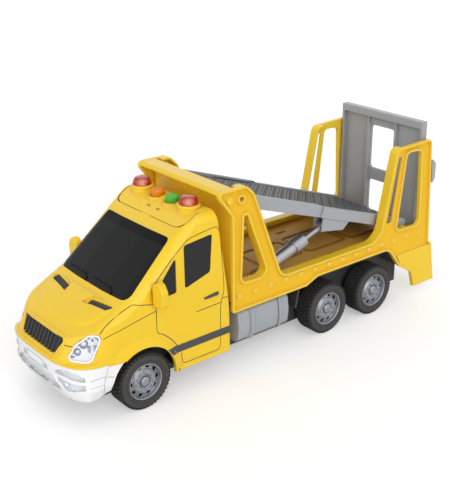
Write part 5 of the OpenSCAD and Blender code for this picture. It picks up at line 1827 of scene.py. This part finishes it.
@dataclass
class Wheels:
    """Six wheels: treaded tyres on silver rims."""

    centre: float = 36.6
    height: float = 19.2
    seat: float = 12.6
    half: float = 7.5
    tread_base: float = 18.4
    blocks: int = 42
    rows: int = 5
    row_pitch: float = 2.7
    nuts: int = 10
    nut_radius: float = 6.2
    nut_seat: float = 5.95
    hole_radius: float = 9.75
    tread_start: float = 17.4

    AXLES = (("front", 112.6), ("middle", -46.65), ("rear", -94.95))
    NUT = ((0.0, 0.9), (0.3, 0.9), (0.45, 1.05), (0.8, 1.0), (0.95, 0.7), (1.0, 0.2), (1.2, -0.2), (0.0, -0.2))

    def build(self) -> None:
        """Builds one tyre and one rim, and places them on the axles."""
        patterns = (("tyre", self.tyre(), Slot.TYRE), ("rim", self.rim(), Slot.RIM))
        for axle, x in self.AXLES:
            for kind, pattern, slot in patterns:
                left = placed(f"{kind}_{axle}_left_dressed", pattern.data.copy())
                moved(left, (x, self.centre, self.height))
                for made in (left, mirrored(left, f"{kind}_{axle}_right_dressed")):
                    settle(made, f"{axle}_wheels", slot, made.name.removesuffix("_dressed"))
        for _, pattern, _ in patterns:
            remove(pattern)

    def tyre(self) -> Piece:
        """One tyre about the origin, with its outer side to the left.

        Returns:
            The tyre.
        """
        edge = self.half
        side = [(self.seat, edge - 0.7), (self.seat + 0.2, edge - 0.2), (self.seat + 0.7, edge), (14.1, edge - 0.05),
                (14.3, edge - 0.3), (14.6, edge - 0.3), (14.8, edge - 0.05), (16.6, edge), (17.3, edge - 0.2),
                (17.5, edge - 0.45), (18.1, edge - 1.0), (self.tread_base, edge - 1.5)]
        body = lathe("tyre", side + [(r, -y) for r, y in reversed(side)], 84)
        body.data.materials.append(Paint.RUBBER.material())
        body.data.materials.append(Paint.TREAD_RUBBER.material())
        for face in body.data.polygons:
            out = math.hypot(face.center.x, face.center.z) / MM
            face.material_index = int(out > self.tread_start)
        smoothed(body, 40.0)
        knob = block(0.0, 0.82, 2.25, 2.3, 1.85, 1.9)
        tread = repeated("tread", RING, knob, Paint.TREAD_RUBBER, self.blocks, Rows=self.rows,
                         Radius=(self.tread_base - 0.05) * MM, Pitch=self.row_pitch * MM, Stagger=0.5)
        return joined("tyre_pattern", [body, tread])

    def rim(self) -> Piece:
        """One rim about the origin, with its outer side to the left.

        Returns:
            The rim.
        """
        profile = ((12.5, 6.2), (12.5, 6.8), (12.2, 7.1), (11.7, 7.1), (11.4, 6.7), (11.2, 5.4), (10.95, 4.5),
                   (10.6, 4.2), (8.7, 4.7), (8.3, 5.0), (8.0, 5.6), (7.7, 5.9), (self.nut_radius, self.nut_seat),
                   (4.4, 5.9), (4.0, 5.3), (3.5, 5.3), (3.2, 5.8), (3.1, 6.4), (2.6, 6.85), (1.4, 7.06), (0.0, 7.1),
                   (0.0, 2.8), (8.0, 2.8), (10.4, 2.3), (10.9, 1.6), (11.2, -6.2), (11.7, -6.9), (12.3, -6.9),
                   (12.5, -6.6))
        body = painted(lathe("rim", profile, 80), Paint.RIM)
        hole = block(-1.0, 0.95, 8.0, 2.8, 8.0, 2.5)
        # The holes' walls are painted black: painted shade inside the holes.
        holes = repeated("holes", RING, hole, Paint.BLACK, self.nuts, Radius=self.hole_radius * MM)
        moved(holes, (0.0, 3.0, 0.0))
        smoothed(cut(body, [holes]), 32.0)
        nut = lathe("nut", self.NUT, 8)
        nuts = repeated("nuts", RING, nut, Paint.RIM, self.nuts, Radius=self.nut_radius * MM)
        moved(nuts, (0.0, self.nut_seat, 0.0))
        return joined("rim_pattern", [body, nuts])


@dataclass
class Bed:
    """The bed: side walls, headboard and moulded floor."""

    floor_top: float = 52.8
    panels: tuple = (((-48.6, -13.5), (-9.8, 13.5)), ((-92.0, -15.2), (-54.0, 15.2)),
                     ((-134.0, -16.6), (-97.0, 16.6)))
    panel_corner: float = 5.0
    groove_width: float = 4.4
    groove_depth: float = 0.8
    rivet_count: int = 14
    rivet_front: float = 36.4
    rivet_pitch: float = 13.76
    rivet_height: float = 54.4
    rivet_seat: float = 42.7
    slit: tuple = ((-111.6, 69.2), (-106.0, 69.2), (-115.4, 118.6), (-119.0, 118.6))
    slit_corner: float = 1.2
    wall_edge: float = 0.16
    slit_span: Flat = (30.0, 50.0)

    def build(self) -> None:
        """Builds every piece of the bed."""
        for name, way in SIDES:
            node = f"side_wall_{name}"
            outline = rounded(self.slit, self.slit_corner, 3)
            slit = loft("slit", [[(x, way * y, z) for x, z in outline] for y in self.slit_span])
            wall = cut(copy_node(node, f"{node}_soft"), [slit])
            painted(smoothed(filled(bevelled(wall, self.wall_edge)), CREASE), Paint.YELLOW)
            self.panel(wall)
            settle(wall, CHASSIS, Slot.YELLOW, node)
            self.rivets(name, way)
        soften("headboard", 0.3, Paint.YELLOW, Slot.YELLOW)
        made = painted(bevelled(copy_node("bed_floor", "bed_floor_moulding"), 0.3), Paint.AMBER)
        cutters = []
        half = self.groove_width / 2
        section = ((-half * 0.5, -self.groove_depth), (half * 0.5, -self.groove_depth), (half, 0.4), (-half, 0.4))
        for low, top in self.panels:
            ring = [(x, y, self.floor_top) for x, y in box_outline(low, top, self.panel_corner, 8)]
            spots = [(p, UPWARD) for p in resampled(ring, 4.0, True)]
            # The grooves' faces are painted a darker amber: painted shade.
            cutters.append(painted(sweep("line", spots, section, True), Paint.AMBER_SEAM))
        settle(smoothed(cut(made, cutters), 40.0), CHASSIS, Slot.AMBER, "bed_floor")

    def panel(self, wall: Piece) -> None:
        """Gives the sunk outer face of a side wall a matt, darker yellow that is partly painted shade."""
        wall.data.materials.append(Paint.YELLOW_PANEL.material())
        for face in wall.data.polygons:
            if abs(face.normal.y) > 0.99 and abs(abs(face.center.y) / MM - self.rivet_seat) < 0.1:
                face.material_index = 1

    def rivets(self, name: str, way: int) -> None:
        """Builds the row of square rivets along a side wall.

        Args:
            name: The side's name.
            way: 1 for the left side and -1 for the right.
        """
        stud = block(-0.5, 1.1, 3.9, 3.9, 3.1, 3.1)
        stud.data.transform(Matrix.Rotation(way * math.pi / 2, 4, "Z"))
        start = Vector((self.rivet_front, way * self.rivet_seat, self.rivet_height)) * MM
        made = repeated(f"wall_rivets_{name}", GRID, stud, Paint.YELLOW, self.rivet_count, Start=start,
                        Step=(-self.rivet_pitch * MM, 0.0, 0.0))
        settle(made, CHASSIS, Slot.YELLOW)


@dataclass
class Deck:
    """The tilting deck: side rails, tread with cleats, and lift cylinders."""

    pivot: Flat = (-130.0, 57.3)
    tilt: float = 19.0
    tread_top: float = 7.3
    rail_out: float = 35.6
    cleat_start: float = 5.0
    cleat_pitch: float = 4.2
    cleat_rows: int = 14
    cleat_count: int = 38
    cleat_step: float = 4.3

    # The first step is painted a darker grey: painted shade for the rail's bent band.
    RAIL_STEPS = ((90.5, 94.5, 0.4, 30.0, 0.9, Paint.MID_GREY), (36.0, 46.0, 0.4, 30.0, 0.4, Paint.LIGHT_GREY),
                  (28.0, 36.0, 0.4, 30.0, 0.8, Paint.LIGHT_GREY), (50.0, 95.0, -20.0, 0.45, 0.9, Paint.LIGHT_GREY))

    def at(self, u: float, v: float) -> Flat:
        """A place on the tilted deck.

        Args:
            u: Distance up the deck from its pivot.
            v: Height above the deck's own floor line.

        Returns:
            X and Z.
        """
        turn = math.radians(self.tilt)
        return (self.pivot[0] + u * math.cos(turn) - v * math.sin(turn),
                self.pivot[1] + u * math.sin(turn) + v * math.cos(turn))

    def rails(self) -> None:
        """Builds the deck's frame with the steps in its rails."""
        made = painted(bevelled(copy_node("deck_frame", "deck_rails"), 0.25), Paint.LIGHT_GREY)
        cutters = []
        for _, way in SIDES:
            for start, end, low, top, depth, paint in self.RAIL_STEPS:
                ring = [self.at(u, v) for u, v in ((start, low), (end, low), (end, top), (start, top))]
                ends = [[(x, way * y, z) for x, z in ring] for y in (self.rail_out - depth, self.rail_out + 2.0)]
                cutters.append(painted(loft("step", ends), paint))
        settle(smoothed(cut(made, cutters), 40.0), "deck", Slot.LIGHT_GREY, "deck_frame")

    def build(self) -> None:
        """Builds every piece of the deck."""
        self.rails()
        tread = painted(bevelled(copy_node("deck_tread", "deck_tread_plate"), 0.25), Paint.TREAD)
        cleat = block(-0.1, 0.3, 0.8, 3.0, 0.5, 2.7)
        cleat.data.transform(Matrix.Rotation(-math.pi / 2, 4, "Y"))
        x, z = self.at(self.cleat_start, self.tread_top)
        turn = math.radians(self.tilt)
        along = Vector((math.cos(turn), 0.0, math.sin(turn))) * self.cleat_step * MM
        half = (self.cleat_rows - 1) / 2 * self.cleat_pitch
        cleats = repeated("cleats", GRID, cleat, Paint.TREAD, self.cleat_count, Rows=self.cleat_rows,
                          Start=(x * MM, -half * MM, z * MM), Step=along, Row_Step=(0.0, self.cleat_pitch * MM, 0.0),
                          Turn=(0.0, -turn, math.radians(45)), Other_Turn=(0.0, -turn, math.radians(-45)))
        settle(joined("deck_tread_plate", [tread, cleats]), "deck", Slot.DARK_GREY, "deck_tread")
        for name, _ in SIDES:
            soften(f"barrel_{name}", 0.3, Paint.CHROME, Slot.CHROME, f"barrel_{name}")
            soften(f"rod_{name}", 0.2, Paint.CHROME, Slot.CHROME, f"rod_{name}")


@dataclass
class Tailgate:
    """The folding tailgate, with panels sunk in its back."""

    edge: float = 0.4
    back: float = -147.2
    sink: float = 0.6
    flare: float = 0.4
    corner: float = 3.0

    PANELS = (((-37.0, 52.0), (-16.0, 131.5)), ((16.0, 52.0), (37.0, 131.5)), ((-10.5, 85.2), (10.5, 90.8)))

    def build(self) -> None:
        """Builds the tailgate with softened edges."""
        made = painted(bevelled(copy_node("tailgate", "tailgate_frame"), self.edge), Paint.MID_GREY)
        cutters = []
        for (y0, z0), (y1, z1) in self.PANELS:
            ring = box_outline((y0, z0), (y1, z1), min(self.corner, (z1 - z0) / 3))
            mid_y, mid_z = (y0 + y1) / 2, (z0 + z1) / 2
            ends = [[(x, y + math.copysign(flare, y - mid_y), z + math.copysign(flare, z - mid_z)) for y, z in ring]
                    for x, flare in ((self.back - 1.0, self.flare), (self.back + self.sink, -self.flare))]
            cutters.append(painted(loft("panel", ends), Paint.MID_GREY))
        settle(smoothed(cut(made, cutters), 40.0), "tailgate", Slot.MID_GREY, "tailgate")


@dataclass
class Underbody:
    """The chassis and the tanks."""

    edge: float = 0.3
    strap_places: Flat = (24.6, -0.2)
    strap_width: float = 2.2
    strap_rise: float = 0.5
    strap_steps: int = 60
    tank_middle: Flat = (34.7, 30.4)

    def build(self) -> None:
        """Builds the chassis and the tanks with softened edges."""
        soften("chassis_frame", self.edge, Paint.GUARD, Slot.BLACK)
        for name, way in SIDES:
            self.straps(name, way)
            soften(f"fuel_tank_{name}", 0.5, Paint.LIGHT_GREY, Slot.LIGHT_GREY)

    def straps(self, name: str, way: int) -> None:
        """Builds the straps round a tank.

        Args:
            name: The side's name.
            way: 1 for the left side and -1 for the right.
        """
        skin = Skin(f"fuel_tank_{name}")
        half, top = self.strap_width / 2, self.strap_rise
        section = ((-half, -0.3), (half, -0.3), (half, top * 0.6), (half * 0.7, top), (-half * 0.7, top),
                   (-half, top * 0.6))
        shapes = []
        for x in self.strap_places:
            middle = Vector((x, way * self.tank_middle[0], self.tank_middle[1]))
            spots = []
            for i in range(self.strap_steps):
                angle = 2 * math.pi * i / self.strap_steps
                out = Vector((0.0, math.cos(angle), math.sin(angle)))
                spots.append((skin.along(middle + out * 40.0, -out)[0], out))
            shapes.append(painted(sweep("strap", spots, section, True), Paint.LIGHT_GREY))
        settle(smoothed(joined(f"tank_straps_{name}", shapes), 40.0), CHASSIS, Slot.LIGHT_GREY)


def main() -> None:
    """Builds the truck's looks, and reports each piece."""
    logging.basicConfig(level=logging.INFO, format="%(message)s")
    Stage().build()
    dress_nodes()
    for assembly in (Underbody(), Cab(), Bumper(), Lamps(), Roof(), Wheels(), Bed(), Deck(), Tailgate()):
        LOG.info("sub-assembly %s", type(assembly).__name__)
        assembly.build()


if __name__ == "__main__":
    main()
